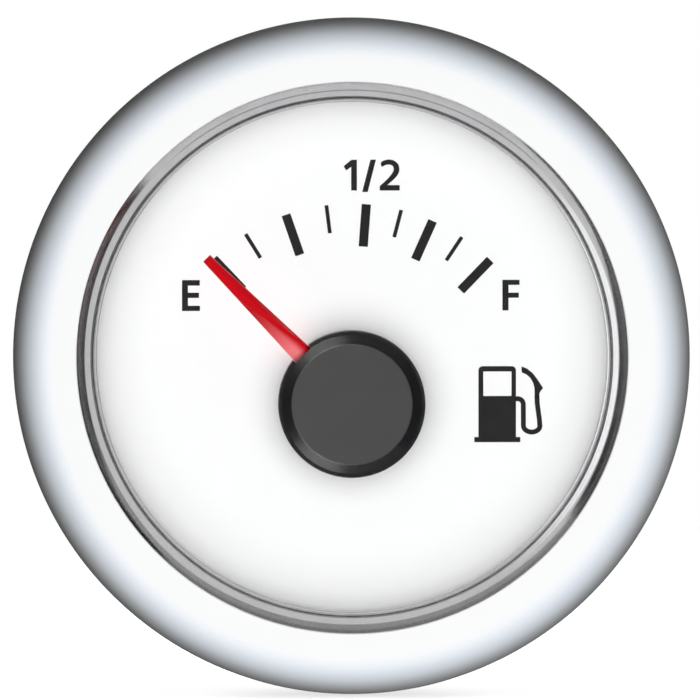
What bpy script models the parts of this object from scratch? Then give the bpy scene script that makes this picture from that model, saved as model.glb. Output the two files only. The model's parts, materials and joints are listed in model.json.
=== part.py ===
"""Round panel fuel gauge, 52 mm nominal, with a geared stepper movement.

The dial faces -Y and +Z is up. The origin is the centre of the panel cutout, in the plane
where the mounting seal meets the panel, so the bezel lies at -Y and the housing at +Y.
"""

import math

import bmesh
import bpy
from mathutils import Vector
from mathutils.geometry import tessellate_polygon

# Gaps, in metres like every size here
SEAT_GAP = 0.0003  # between pieces that rest on each other
RUN_GAP = 0.0001  # round a turning shaft

# Bezel
BEZEL_ROLL = 0.0035  # width of the rounded outer part of the front
BEZEL_COVER = 0.00253  # how far the lip covers the lens
BEZEL_LIP = 0.0009
BEZEL_WALL = 0.0012
BEZEL_SKIRT_END = 0.0009  # the skirt stops this far in front of the panel
BEZEL_HOOK = 0.0008
NOSE_EDGE = 0.0003
NOSE_POWER = 2.2  # 2 is an ellipse, and more is squarer

# Seal, lens and gasket
SEAL_THICKNESS = 0.0015
SEAL_WIDTH = 0.0026
LENS_THICKNESS = 0.0015
LENS_INSET = 0.0015  # from the housing's flange in to the lens
LENS_CHAMFER = 0.0002
GASKET_THICKNESS = 0.0005
GASKET_WIDTH = 0.0016

# Housing
BARREL_RADIUS = 0.0250
BARREL_LENGTH = 0.0260
BARREL_WALL = 0.0018
REAR_WALL = 0.0018
REAR_CHAMFER = 0.0008
LEDGE_WIDTH = 0.0008
COLLAR_WIDTH = 0.0020
COLLAR_LENGTH = 0.0011
FLANGE_WIDTH = 0.0010
FLANGE_THICKNESS = 0.0015
RIM_STEP = 0.0012
THREAD_PITCH = 0.0050
THREAD_HEIGHT = 0.0010
THREAD_ROOT = 0.0020
THREAD_CREST = 0.0009
THREAD_START = 0.0020
THREAD_END_MARGIN = 0.0016
THREAD_STEPS = 24
THREAD_BITE = 0.0004
THREAD_LEAD = math.radians(2.1)  # where the thread starts, clockwise from the top

# Clamp ring
CLAMP_GAP = 0.0003
CLAMP_FRONT = 0.0050
CLAMP_LENGTH = 0.0120
CLAMP_FLANGE = 0.0028
CLAMP_WALL = 0.0017
CLAMP_FLANGE_WIDTH = 0.0013
CLAMP_RIBS = 12
CLAMP_RIB_WIDTH = 0.0022
CLAMP_CHAMFER = 0.0005

# Dial, trim ring and lighting
DIAL_DEPTH = 0.0049  # from the lens to the dial
DIAL_THICKNESS = 0.0005
DIAL_HOLE_MARGIN = 0.00065  # round the shaft
TRIM_CONE_WIDTH = 0.00055
TRIM_LEDGE_WIDTH = 0.0007
TRIM_SLOT_WIDTH = 0.00022
TRIM_LAND_WIDTH = 0.0003
TRIM_CONE_DROP = 0.00043
TRIM_LEDGE_DROP = 0.00012
TRIM_LAND_DROP = 0.0003
TRIM_SLOT_DEPTH = 0.00055
TRIM_FLANGE_GAP = 0.0003
LIGHT_GUIDE_THICKNESS = 0.0020
REFLECTOR_DEPTH = 0.0028
REFLECTOR_WALL = 0.0014
REFLECTOR_SPOKE = 0.0016
REFLECTOR_COLLAR = 0.0036
SHAFT_WINDOW_MARGIN = 0.00125
LED_COUNT = 4
LED_SIZE = (0.0030, 0.0008, 0.0020)
LED_CIRCLE = 0.0125

# Circuit board and contacts
BOARD_THICKNESS = 0.0016
CONTACT_SIZE = 0.00063
CONTACT_PITCH = 0.00254
CONTACT_COLUMNS = 4
CONTACT_ROWS = 2
CONTACT_RECESS = 0.0052
CARRIER_DEPTH = 0.0030
CARRIER_MARGIN = 0.0015
HOLE_MARGIN = 0.00022
SHROUD_LENGTH = 0.0110
SHROUD_SIDE = 0.00499  # from the outer contacts to the shroud, across
SHROUD_ROOM = 0.00293  # and up or down
SHROUD_WALL = 0.0013
SHROUD_CORNER = 0.0012
SHROUD_KEY = (0.0016, 0.0010)

# Components, each as width, height and how far it stands off the board
DRIVER_CHIP = (0.0076, 0.0050, 0.0016)
REGULATOR = (0.0035, 0.0065, 0.0017)
INPUT_DIODE = (0.0026, 0.0043, 0.0022)
CAPACITOR_RADIUS = 0.0025
CAPACITOR_HEIGHT = 0.0052
CHIP_ROOM = 0.0045  # from the movement to the middle of a component above it
SIDE_ROOM = 0.0034  # and beside it
DIODE_DROP = 0.0055
CAPACITOR_RISE = 0.0035

# Gear train: rotor pinion, layshaft wheel, layshaft pinion, output wheel
GEAR_MODULE = 0.0002
PRESSURE_ANGLE = math.radians(20)
DEDENDUM = 1.25  # in modules
BACKLASH = 0.00007
PINION_SHIFT = 0.40
PINION_TEETH = 10
LAY_WHEEL_TEETH = 60
OUTPUT_WHEEL_TEETH = 72
PINION_FLANK_STEPS = 2
WHEEL_FLANK_STEPS = 1
WHEEL_THICKNESS = 0.0009
PINION_FACE = 0.0012
LEVEL_GAP = 0.0004
PIVOT_RADIUS = 0.0004
ROTOR_TO_OUTPUT = 0.0120

# Movement
OUTPUT_DROP = 0.00414  # the pointer's axis lies this far below the gauge's axis
MOVEMENT_CORNER = 0.0025
MOVEMENT_WALL = 0.0009
MOVEMENT_ROOM = 0.0004  # between the works and the case
PEG_RADIUS = 0.0009
POST_WALL = 1.2  # of a bearing post, in shaft radii
MAGNET_RADIUS = 0.0024
MAGNET_LENGTH = 0.0030
MAGNET_GAP = 0.0004
STATOR_THICKNESS = 0.0010
STATOR_BAR = 0.0022
COIL_TOP = 0.0052
COIL_BOTTOM = -0.0060
COIL_DEPTH = 0.0038
COIL_WIDTH = 0.0046
BOBBIN_FLANGE = 0.0006
BOBBIN_WALL = 0.0004
MOTOR_PIN_RADIUS = 0.0003
MOTOR_PIN_CLEARANCE = 0.00065  # between the inner motor pins and the output wheel

# Pointer
SHAFT_RADIUS = 0.00075
POINTER_REST = math.radians(-44.9)  # from upright, positive clockwise seen from the front
POINTER_LENGTH = 0.0179
POINTER_ROOT_WIDTH = 0.0021
POINTER_TIP_WIDTH = 0.00075
POINTER_RIDGE = 0.0009
POINTER_EDGE = 0.0003
POINTER_LIFT = 0.0015  # the blade's underside above the dial
POINTER_HUB_RADIUS = 0.0024
POINTER_DISC_RADIUS = 0.0048
POINTER_DISC = 0.0007
CAP_RADIUS = 0.00641
CAP_TOP_RADIUS = 0.00520
CAP_LIFT = 0.0006
CAP_WALL_HEIGHT = 0.00295
CAP_HEIGHT = 0.0038
CAP_WALL = 0.0008
CAP_MOUTH = 0.00041  # how far in from the cap's side its slot is open to the front
CAP_BOSS = 0.0016

SEGMENTS = 40  # outer rings
INNER_SEGMENTS = 32  # discs and seals inside
SMALL_SEGMENTS = 20
PIN_SEGMENTS = 12
WIRE_SEGMENTS = 8
NOSE_STEPS = 7
EDGE_STEPS = 3
CREASE = math.radians(28)  # edges sharper than this stay sharp in the shading
MERGE_DISTANCE = 1e-7

# Stations along Y, worked out from the thicknesses above
SEAL_FRONT = -SEAL_THICKNESS
COLLAR_REAR = SEAL_FRONT - SEAT_GAP
FLANGE_REAR = COLLAR_REAR - COLLAR_LENGTH
FLANGE_FRONT = FLANGE_REAR - FLANGE_THICKNESS
GASKET_REAR = FLANGE_FRONT - SEAT_GAP
GASKET_FRONT = GASKET_REAR - GASKET_THICKNESS
LENS_REAR = GASKET_FRONT - SEAT_GAP
LENS_FRONT = LENS_REAR - LENS_THICKNESS
LIP_REAR = LENS_FRONT - SEAT_GAP
BEZEL_FRONT = LIP_REAR - BEZEL_LIP
DIAL_FRONT = LENS_REAR + DIAL_DEPTH
DIAL_REAR = DIAL_FRONT + DIAL_THICKNESS
GUIDE_FRONT = DIAL_REAR + SEAT_GAP
GUIDE_REAR = GUIDE_FRONT + LIGHT_GUIDE_THICKNESS
REFLECTOR_FRONT = GUIDE_REAR + SEAT_GAP
REFLECTOR_REAR = REFLECTOR_FRONT + REFLECTOR_DEPTH
BOARD_FRONT = REFLECTOR_REAR + SEAT_GAP
BOARD_REAR = BOARD_FRONT + BOARD_THICKNESS
COVER_FRONT = BOARD_REAR + SEAT_GAP
COVER_REAR = COVER_FRONT + MOVEMENT_WALL
OUTPUT_WHEEL_FRONT = COVER_REAR + SEAT_GAP
OUTPUT_WHEEL_REAR = OUTPUT_WHEEL_FRONT + WHEEL_THICKNESS
LAY_WHEEL_FRONT = OUTPUT_WHEEL_REAR + LEVEL_GAP
LAY_WHEEL_REAR = LAY_WHEEL_FRONT + WHEEL_THICKNESS
COIL_MIDDLE = LAY_WHEEL_REAR + SEAT_GAP + COIL_DEPTH / 2
MAGNET_FRONT = COIL_MIDDLE - MAGNET_LENGTH / 2
MAGNET_REAR = COIL_MIDDLE + MAGNET_LENGTH / 2
STATOR_FRONT = COIL_MIDDLE - STATOR_THICKNESS / 2
STATOR_REAR = COIL_MIDDLE + STATOR_THICKNESS / 2
CASE_FLOOR = COIL_MIDDLE + COIL_DEPTH / 2 + SEAT_GAP
CASE_REAR = CASE_FLOOR + MOVEMENT_WALL
SHROUD_END = BARREL_LENGTH + SHROUD_LENGTH
CONTACT_END = SHROUD_END - CONTACT_RECESS


# Radii, worked out from the barrel's
COLLAR_RADIUS = BARREL_RADIUS + COLLAR_WIDTH
FLANGE_RADIUS = COLLAR_RADIUS + FLANGE_WIDTH
BEZEL_RADIUS = FLANGE_RADIUS + SEAT_GAP + BEZEL_WALL
BEZEL_PLATEAU = BEZEL_RADIUS - BEZEL_ROLL  # where the flat front starts to roll over
LENS_RADIUS = FLANGE_RADIUS - LENS_INSET
BEZEL_OPENING = LENS_RADIUS - BEZEL_COVER
BORE_RADIUS = BARREL_RADIUS - BARREL_WALL
LEDGE_RADIUS = BORE_RADIUS - LEDGE_WIDTH
STACK_RADIUS = BORE_RADIUS - SEAT_GAP
RIM_RADIUS = LENS_RADIUS - GASKET_WIDTH
TRIM_CONE_FOOT = BEZEL_OPENING - TRIM_CONE_WIDTH
TRIM_SLOT_OUTER = TRIM_CONE_FOOT - TRIM_LEDGE_WIDTH
TRIM_SLOT_INNER = TRIM_SLOT_OUTER - TRIM_SLOT_WIDTH
TRIM_BORE = TRIM_SLOT_INNER - TRIM_LAND_WIDTH
THREAD_RADIUS = BARREL_RADIUS + THREAD_HEIGHT
CLAMP_BORE = THREAD_RADIUS + CLAMP_GAP
CLAMP_SKIRT_RADIUS = CLAMP_BORE + CLAMP_WALL
CLAMP_FLANGE_RADIUS = CLAMP_SKIRT_RADIUS + CLAMP_FLANGE_WIDTH
DIAL_HOLE = SHAFT_RADIUS + DIAL_HOLE_MARGIN
SHAFT_WINDOW = SHAFT_RADIUS + SHAFT_WINDOW_MARGIN


def circle_meet(first, second, first_radius, second_radius):
    """The right-hand point that lies at both distances from two centres given as (x, z)."""
    a, b = Vector(first), Vector(second)
    span = (b - a).length
    along = (first_radius**2 - second_radius**2 + span**2) / (2 * span)
    aside = math.sqrt(first_radius**2 - along**2)
    direction = (b - a) / span
    return tuple(a + direction * along + Vector((direction.y, -direction.x)) * aside)


def centre_distance(wheel_teeth):
    return GEAR_MODULE * (PINION_TEETH + wheel_teeth) / 2


OUTPUT_AXIS = (0.0, -OUTPUT_DROP)
ROTOR_AXIS = (0.0, ROTOR_TO_OUTPUT - OUTPUT_DROP)
LAY_AXIS = circle_meet(
    OUTPUT_AXIS, ROTOR_AXIS, centre_distance(OUTPUT_WHEEL_TEETH), centre_distance(LAY_WHEEL_TEETH)
)


def wheel_tip(teeth):
    return GEAR_MODULE * (teeth / 2 + 1 - PINION_SHIFT)


# The movement's case goes round its works, and the contacts lie under it
COIL_X = wheel_tip(OUTPUT_WHEEL_TEETH) + MOTOR_PIN_CLEARANCE + MOTOR_PIN_RADIUS + COIL_WIDTH / 3
STATOR_REACH = MAGNET_RADIUS + MAGNET_GAP + STATOR_BAR / 2
WORKS_SIDE = max(COIL_X + COIL_WIDTH / 2, LAY_AXIS[0] + wheel_tip(LAY_WHEEL_TEETH))
WORKS_TOP = ROTOR_AXIS[1] + STATOR_REACH
WORKS_BOTTOM = OUTPUT_DROP + wheel_tip(OUTPUT_WHEEL_TEETH)
MOVEMENT_WIDTH = 2 * (WORKS_SIDE + MOVEMENT_ROOM + MOVEMENT_WALL)
MOVEMENT_TOP = WORKS_TOP + MOVEMENT_ROOM + MOVEMENT_WALL
MOVEMENT_BOTTOM = WORKS_BOTTOM + MOVEMENT_ROOM + MOVEMENT_WALL
CARRIER_WIDTH = (CONTACT_COLUMNS - 1) * CONTACT_PITCH + 2 * CARRIER_MARGIN
CARRIER_HEIGHT = (CONTACT_ROWS - 1) * CONTACT_PITCH + 2 * CARRIER_MARGIN
CONTACT_CENTRE = -(MOVEMENT_BOTTOM + MOVEMENT_ROOM + CARRIER_HEIGHT / 2)
SHROUD_WIDTH = (CONTACT_COLUMNS - 1) * CONTACT_PITCH + 2 * SHROUD_SIDE
SHROUD_HEIGHT = (CONTACT_ROWS - 1) * CONTACT_PITCH + 2 * SHROUD_ROOM


# Materials

def material(name, colour, roughness, metallic=0.0, alpha=1.0):
    made = bpy.data.materials.new(name)
    made.use_nodes = True
    shader = made.node_tree.nodes["Principled BSDF"]
    shader.inputs["Base Color"].default_value = (*colour, 1.0)
    shader.inputs["Roughness"].default_value = roughness
    shader.inputs["Metallic"].default_value = metallic
    shader.inputs["Alpha"].default_value = alpha
    made.diffuse_color = (*colour, alpha)
    return made


# Outlines in the X-Z plane

def circle(radius, count=SEGMENTS, centre=(0.0, 0.0)):
    turn = 2 * math.pi / count
    return [
        (centre[0] + radius * math.cos(turn * i), centre[1] + radius * math.sin(turn * i))
        for i in range(count)
    ]


def rectangle(width, height, centre=(0.0, 0.0)):
    x, z = width / 2, height / 2
    return [(centre[0] + i * x, centre[1] + j * z) for i, j in ((-1, -1), (1, -1), (1, 1), (-1, 1))]


def rounded_rectangle(width, height, corner, centre=(0.0, 0.0), steps=4):
    points = []
    for quarter, (i, j) in enumerate(((1, 1), (-1, 1), (-1, -1), (1, -1))):
        middle = (centre[0] + i * (width / 2 - corner), centre[1] + j * (height / 2 - corner))
        for step in range(steps + 1):
            angle = (quarter + step / steps) * math.pi / 2
            points.append(
                (middle[0] + corner * math.cos(angle), middle[1] + corner * math.sin(angle))
            )
    return points


def arc_window(inner, outer, start, end, steps=8):
    """A window between two radii, with its sides set by two angles."""
    angles = [start + (end - start) * i / steps for i in range(steps + 1)]
    far = [(outer * math.cos(a), outer * math.sin(a)) for a in angles]
    near = [(inner * math.cos(a), inner * math.sin(a)) for a in reversed(angles)]
    return far + near


def involute(angle):
    return math.tan(angle) - angle


def gear_outline(teeth, shift, phase, flank_steps):
    """An involute spur gear's outline, with one tooth centred on the angle phase."""
    pitch_radius = GEAR_MODULE * teeth / 2
    base_radius = pitch_radius * math.cos(PRESSURE_ANGLE)
    tip_radius = pitch_radius + GEAR_MODULE * (1 + shift)
    root_radius = pitch_radius - GEAR_MODULE * (DEDENDUM - shift)
    tooth = GEAR_MODULE * (math.pi / 2 + 2 * shift * math.tan(PRESSURE_ANGLE)) - BACKLASH / 2
    half_tooth = tooth / (2 * pitch_radius) + involute(PRESSURE_ANGLE)
    flank_start = max(base_radius, root_radius)
    flank = []
    for step in range(flank_steps + 1):
        radius = flank_start + (tip_radius - flank_start) * step / flank_steps
        flank.append((radius, half_tooth - involute(math.acos(min(1.0, base_radius / radius)))))
    if root_radius < base_radius:
        flank.insert(0, (root_radius, flank[0][1]))
    points = []
    for index in range(teeth):
        middle = phase + 2 * math.pi * index / teeth
        for radius, half in flank:
            points.append((radius * math.cos(middle - half), radius * math.sin(middle - half)))
        for radius, half in reversed(flank):
            points.append((radius * math.cos(middle + half), radius * math.sin(middle + half)))
    return points


def direction(start, end):
    return math.atan2(end[1] - start[1], end[0] - start[0])


def meshing_phase(pinion_axis, wheel_axis, teeth):
    """The angle that puts a gap of the wheel where the pinion has a tooth."""
    return direction(pinion_axis, wheel_axis) + math.pi - math.pi / teeth


# Meshes

def place(name, mesh_maker, surface, at=(0.0, 0.0), helper=False):
    """Turns a bmesh into an object with its origin on the axis through at."""
    bmesh.ops.recalc_face_normals(mesh_maker, faces=mesh_maker.faces[:])
    mesh = bpy.data.meshes.new(name)
    mesh_maker.to_mesh(mesh)
    mesh_maker.free()
    mesh.shade_smooth()
    mesh.set_sharp_from_angle(angle=CREASE)
    made = bpy.data.objects.new(name, mesh)
    made.location = (at[0], 0.0, at[1])
    bpy.context.scene.collection.objects.link(made)
    if helper:
        made.hide_render = True
        made.display_type = "WIRE"
    else:
        mesh.materials.append(surface)
    return made


def add_turning(bm, outline, segments, centre=(0.0, 0.0)):
    """Spins a closed (radius, y) outline round the Y axis through centre."""
    verts = [bm.verts.new((centre[0] + r, y, centre[1])) for r, y in outline]
    edges = [bm.edges.new((verts[i - 1], verts[i])) for i in range(len(verts))]
    edges = [e for e in edges if e.verts[0].co.x > centre[0] or e.verts[1].co.x > centre[0]]
    bmesh.ops.spin(
        bm,
        geom=verts + edges,
        cent=(centre[0], 0.0, centre[1]),
        axis=(0, 1, 0),
        angle=2 * math.pi,
        steps=segments,
        use_merge=True,
    )
    bmesh.ops.remove_doubles(bm, verts=bm.verts[:], dist=MERGE_DISTANCE)
    loose = [e for e in bm.edges if not e.link_faces]
    bmesh.ops.delete(bm, geom=loose, context="EDGES")


def turned(name, outline, surface, at=(0.0, 0.0), segments=SEGMENTS, helper=False):
    bm = bmesh.new()
    add_turning(bm, outline, segments)
    return place(name, bm, surface, at, helper)


def add_plate(bm, outline, front, rear, holes=()):
    """Adds a flat plate between two Y stations, with its holes left open."""
    loops = [outline, *holes]
    points = [point for loop in loops for point in loop]
    triangles = tessellate_polygon([[Vector((x, z, 0.0)) for x, z in loop] for loop in loops])
    near = [bm.verts.new((x, front, z)) for x, z in points]
    far = [bm.verts.new((x, rear, z)) for x, z in points]
    for triangle in triangles:
        bm.faces.new([near[i] for i in triangle])
        bm.faces.new([far[i] for i in triangle])
    first = 0
    for loop in loops:
        for i in range(len(loop)):
            j = (i + 1) % len(loop)
            bm.faces.new((near[first + i], near[first + j], far[first + j], far[first + i]))
        first += len(loop)


def plate(name, outline, front, rear, surface, holes=(), at=(0.0, 0.0), helper=False):
    bm = bmesh.new()
    add_plate(bm, outline, front, rear, holes)
    return place(name, bm, surface, at, helper)


def plates(name, outlines, front, rear):
    """One hidden cutter or tool made of several separate plates."""
    bm = bmesh.new()
    for outline in outlines:
        add_plate(bm, outline, front, rear)
    return place(name, bm, None, helper=True)


def combine(target, tool, operation, solver="EXACT"):
    step = target.modifiers.new(tool.name, "BOOLEAN")
    step.operation = operation
    step.object = tool
    step.solver = solver


def ellipse_arc(centre, radii, start, end, steps, power=2.0):
    """Points (radius, y) on an ellipse or a squarer oval, from one angle to another."""
    points = []
    for step in range(steps + 1):
        angle = start + (end - start) * step / steps
        across, along = (
            math.copysign(abs(part) ** (2 / power), part) for part in (math.cos(angle), math.sin(angle))
        )
        points.append((centre[0] + radii[0] * across, centre[1] + radii[1] * along))
    return points


# Front: bezel, lens, gasket, seal and trim ring

def make_bezel(surface):
    skirt_end = -BEZEL_SKIRT_END
    skirt_inside = BEZEL_RADIUS - BEZEL_WALL
    nose = ellipse_arc(
        (BEZEL_PLATEAU, skirt_end),
        (BEZEL_ROLL, skirt_end - BEZEL_FRONT),
        0.0,
        -math.pi / 2,
        NOSE_STEPS,
        NOSE_POWER,
    )
    inner_edge = ellipse_arc(
        (BEZEL_OPENING + NOSE_EDGE, BEZEL_FRONT + NOSE_EDGE),
        (NOSE_EDGE, NOSE_EDGE),
        -math.pi / 2,
        -math.pi,
        EDGE_STEPS,
    )
    pocket = LENS_RADIUS + SEAT_GAP
    hook_front = FLANGE_REAR + SEAT_GAP
    hook_inside = COLLAR_RADIUS + SEAT_GAP
    outline = [
        *nose,
        *inner_edge,
        (BEZEL_OPENING, LIP_REAR),
        (pocket, LIP_REAR),
        (pocket, GASKET_REAR - SEAT_GAP / 2),
        (skirt_inside, FLANGE_FRONT - SEAT_GAP),
        (skirt_inside, hook_front),
        (hook_inside, hook_front),
        (hook_inside, hook_front + BEZEL_HOOK),
        (skirt_inside, hook_front + BEZEL_HOOK),
        (skirt_inside, skirt_end),
    ]
    turned("bezel_ring", outline, surface)


def make_lens(surface):
    edge = LENS_RADIUS - LENS_CHAMFER
    outline = [
        (0.0, LENS_REAR),
        (edge, LENS_REAR),
        (LENS_RADIUS, LENS_REAR - LENS_CHAMFER),
        (LENS_RADIUS, LENS_FRONT + LENS_CHAMFER),
        (edge, LENS_FRONT),
        (0.0, LENS_FRONT),
    ]
    turned("lens", outline, surface, segments=INNER_SEGMENTS)


def make_ring(name, inside, outside, front, rear, surface):
    outline = [(inside, front), (outside, front), (outside, rear), (inside, rear)]
    turned(name, outline, surface, segments=INNER_SEGMENTS)


def make_seals(rubber):
    make_ring("lens_gasket", RIM_RADIUS, LENS_RADIUS, GASKET_FRONT, GASKET_REAR, rubber)
    inside = BARREL_RADIUS + SEAT_GAP
    outside = inside + SEAL_WIDTH
    middle = (inside + outside) / 2
    lip = SEAL_THICKNESS / 5
    outline = [
        (inside, SEAL_FRONT),
        (outside, SEAL_FRONT),
        (outside, -lip),
        (middle + 2 * lip, 0.0),
        (middle - 2 * lip, 0.0),
        (inside, -lip),
    ]
    turned("mounting_seal", outline, rubber, segments=INNER_SEGMENTS)


def make_trim_ring(surface):
    top = LENS_REAR + SEAT_GAP
    ledge = top + TRIM_CONE_DROP
    step = ledge + TRIM_LEDGE_DROP
    slot = step + TRIM_SLOT_DEPTH
    land = step + TRIM_LAND_DROP
    seat = FLANGE_FRONT + RIM_STEP - SEAT_GAP
    flange = RIM_RADIUS - TRIM_FLANGE_GAP
    tube = BORE_RADIUS - TRIM_FLANGE_GAP
    outline = [
        (flange, top),
        (BEZEL_OPENING + NOSE_EDGE / 3, top),
        (TRIM_CONE_FOOT, ledge),
        (TRIM_SLOT_OUTER, step),
        (TRIM_SLOT_OUTER, slot),
        (TRIM_SLOT_INNER, slot),
        (TRIM_SLOT_INNER, land),
        (TRIM_BORE, land),
        (TRIM_BORE, DIAL_FRONT - SEAT_GAP),
        (tube, DIAL_FRONT - SEAT_GAP),
        (tube, seat),
        (flange, seat),
    ]
    turned("trim_ring", outline, surface)


# Housing and clamp ring

def thread_tool():
    """A helical ridge whose foot is sunk in the barrel and whose ends run out into it."""
    first = THREAD_START + THREAD_ROOT / 2
    last = BARREL_LENGTH - THREAD_END_MARGIN - THREAD_ROOT / 2
    turns = (last - first) / THREAD_PITCH
    steps = round(turns * THREAD_STEPS)
    run_out = THREAD_STEPS / 8
    foot = BARREL_RADIUS - THREAD_BITE
    bm = bmesh.new()
    sections = []
    for step in range(steps + 1):
        angle = THREAD_LEAD + 2 * math.pi * step / THREAD_STEPS
        middle = first + THREAD_PITCH * step / THREAD_STEPS
        share = min(1.0, step / run_out, (steps - step) / run_out)
        crest = foot + THREAD_BITE / 2 + (THREAD_HEIGHT + THREAD_BITE / 2) * share
        section = (
            (foot, -THREAD_ROOT / 2),
            (crest, -THREAD_CREST / 2),
            (crest, THREAD_CREST / 2),
            (foot, THREAD_ROOT / 2),
        )
        sections.append(
            [
                bm.verts.new((r * math.sin(angle), middle + y, r * math.cos(angle)))
                for r, y in section
            ]
        )
    for near, far in zip(sections, sections[1:]):
        for i in range(4):
            bm.faces.new((near[i - 1], near[i], far[i], far[i - 1]))
    bm.faces.new(sections[0])
    bm.faces.new(sections[-1])
    return place("thread_tool", bm, None, helper=True)


def contact_places():
    """Centres (x, z) of the contacts, row by row."""
    for row in range(CONTACT_ROWS):
        for column in range(CONTACT_COLUMNS):
            yield (
                (column - (CONTACT_COLUMNS - 1) / 2) * CONTACT_PITCH,
                CONTACT_CENTRE + (row - (CONTACT_ROWS - 1) / 2) * CONTACT_PITCH,
            )


def contact_holes():
    side = CONTACT_SIZE + 2 * HOLE_MARGIN
    return [rectangle(side, side, centre) for centre in contact_places()]


def make_housing(surface):
    shoulder = FLANGE_FRONT + RIM_STEP
    floor = BARREL_LENGTH - REAR_WALL
    ledge = BOARD_REAR + SEAT_GAP
    outline = [
        (FLANGE_RADIUS, FLANGE_FRONT),
        (FLANGE_RADIUS, FLANGE_REAR),
        (COLLAR_RADIUS, FLANGE_REAR),
        (COLLAR_RADIUS, COLLAR_REAR),
        (BARREL_RADIUS, COLLAR_REAR),
        (BARREL_RADIUS, BARREL_LENGTH - REAR_CHAMFER),
        (BARREL_RADIUS - REAR_CHAMFER, BARREL_LENGTH),
        (0.0, BARREL_LENGTH),
        (0.0, floor),
        (LEDGE_RADIUS, floor),
        (LEDGE_RADIUS, ledge),
        (BORE_RADIUS, ledge),
        (BORE_RADIUS, shoulder),
        (RIM_RADIUS, shoulder),
        (RIM_RADIUS, FLANGE_FRONT),
    ]
    housing = turned("housing", outline, surface)
    combine(housing, thread_tool(), "UNION")
    centre = (0.0, CONTACT_CENTRE)
    width, height = SHROUD_WIDTH, SHROUD_HEIGHT
    key_width, key_depth = SHROUD_KEY
    inside = rounded_rectangle(width, height, SHROUD_CORNER, centre)
    outside = rounded_rectangle(
        width + 2 * SHROUD_WALL, height + 2 * SHROUD_WALL, SHROUD_CORNER + SHROUD_WALL, centre
    )
    sunk = BARREL_LENGTH - REAR_WALL / 2
    shroud = plate("shroud_tool", outside, sunk, SHROUD_END, None, [inside], helper=True)
    combine(housing, shroud, "UNION")
    ribs = [
        rectangle(key_width, key_depth * 2, (side * width / 4, CONTACT_CENTRE + height / 2))
        for side in (-1, 1)
    ]
    keys = plates("key_tool", ribs, sunk, SHROUD_END - SHROUD_WALL)
    combine(housing, keys, "UNION")
    holes = plates("contact_hole_tool", contact_holes(), floor - REAR_WALL, BARREL_LENGTH + REAR_WALL)
    combine(housing, holes, "DIFFERENCE")


def make_clamp_ring(surface):
    rear = CLAMP_FRONT + CLAMP_LENGTH
    step = CLAMP_FRONT + CLAMP_FLANGE
    outline = [
        (CLAMP_BORE + CLAMP_CHAMFER, CLAMP_FRONT),
        (CLAMP_FLANGE_RADIUS - CLAMP_CHAMFER, CLAMP_FRONT),
        (CLAMP_FLANGE_RADIUS, CLAMP_FRONT + CLAMP_CHAMFER),
        (CLAMP_FLANGE_RADIUS, step),
        (CLAMP_SKIRT_RADIUS, step),
        (CLAMP_SKIRT_RADIUS, rear - CLAMP_CHAMFER),
        (CLAMP_SKIRT_RADIUS - CLAMP_CHAMFER, rear),
        (CLAMP_BORE + CLAMP_CHAMFER, rear),
        (CLAMP_BORE, rear - CLAMP_CHAMFER),
        (CLAMP_BORE, CLAMP_FRONT + CLAMP_CHAMFER),
    ]
    ring = turned("clamp_ring", outline, surface)
    inner = (CLAMP_BORE + CLAMP_SKIRT_RADIUS) / 2
    ribs = []
    for index in range(CLAMP_RIBS):
        angle = 2 * math.pi * (index + 0.5) / CLAMP_RIBS
        out = Vector((math.cos(angle), math.sin(angle)))
        side = Vector((-out.y, out.x)) * CLAMP_RIB_WIDTH / 2
        far = out * (CLAMP_FLANGE_RADIUS - CLAMP_CHAMFER)
        near = out * inner
        ribs.append([tuple(p) for p in (near - side, far - side / 2, far + side / 2, near + side)])
    grips = plates("grip_tool", ribs, step - CLAMP_CHAMFER, rear - 2 * CLAMP_CHAMFER)
    combine(ring, grips, "UNION")


# Dial and lighting

def make_dial(surface):
    outline = circle(STACK_RADIUS, INNER_SEGMENTS)
    hole = circle(DIAL_HOLE, SMALL_SEGMENTS, OUTPUT_AXIS)
    plate("dial_plate", outline, DIAL_FRONT, DIAL_REAR, surface, [hole])


def make_light_guide(surface):
    hole = circle(SHAFT_WINDOW, SMALL_SEGMENTS, OUTPUT_AXIS)
    plate("light_guide", circle(STACK_RADIUS, INNER_SEGMENTS), GUIDE_FRONT, GUIDE_REAR, surface, [hole])


def led_angles():
    return [2 * math.pi * index / LED_COUNT for index in range(LED_COUNT)]


def make_reflector(surface):
    """White frame that parts the lamps from each other, with one window for each."""
    outside = STACK_RADIUS - REFLECTOR_WALL
    inside = OUTPUT_DROP + REFLECTOR_COLLAR
    margin = REFLECTOR_SPOKE / 2 / inside
    share = math.pi / LED_COUNT
    windows = [
        arc_window(inside, outside, angle - share + margin, angle + share - margin)
        for angle in led_angles()
    ]
    hole = circle(SHAFT_WINDOW, SMALL_SEGMENTS, OUTPUT_AXIS)
    plate(
        "reflector_frame", circle(STACK_RADIUS, INNER_SEGMENTS), REFLECTOR_FRONT, REFLECTOR_REAR,
        surface, [hole, *windows],
    )


def make_leds(surface):
    width, depth, height = LED_SIZE
    rear = BOARD_FRONT - SEAT_GAP
    for index, angle in enumerate(led_angles()):
        centre = (LED_CIRCLE * math.cos(angle), LED_CIRCLE * math.sin(angle))
        plate(f"led_{index + 1}", rectangle(width, height), rear - depth, rear, surface, at=centre)


# Circuit board

def peg_places():
    x = MOVEMENT_WIDTH / 2 - MOVEMENT_CORNER
    return [(-x, MOVEMENT_TOP - MOVEMENT_CORNER), (x, -MOVEMENT_BOTTOM + MOVEMENT_CORNER)]


def motor_pin_places():
    z = COIL_BOTTOM - BOBBIN_FLANGE / 2
    offset = COIL_WIDTH / 3
    return [(side * COIL_X + end * offset, z) for side in (-1, 1) for end in (-1, 1)]


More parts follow.
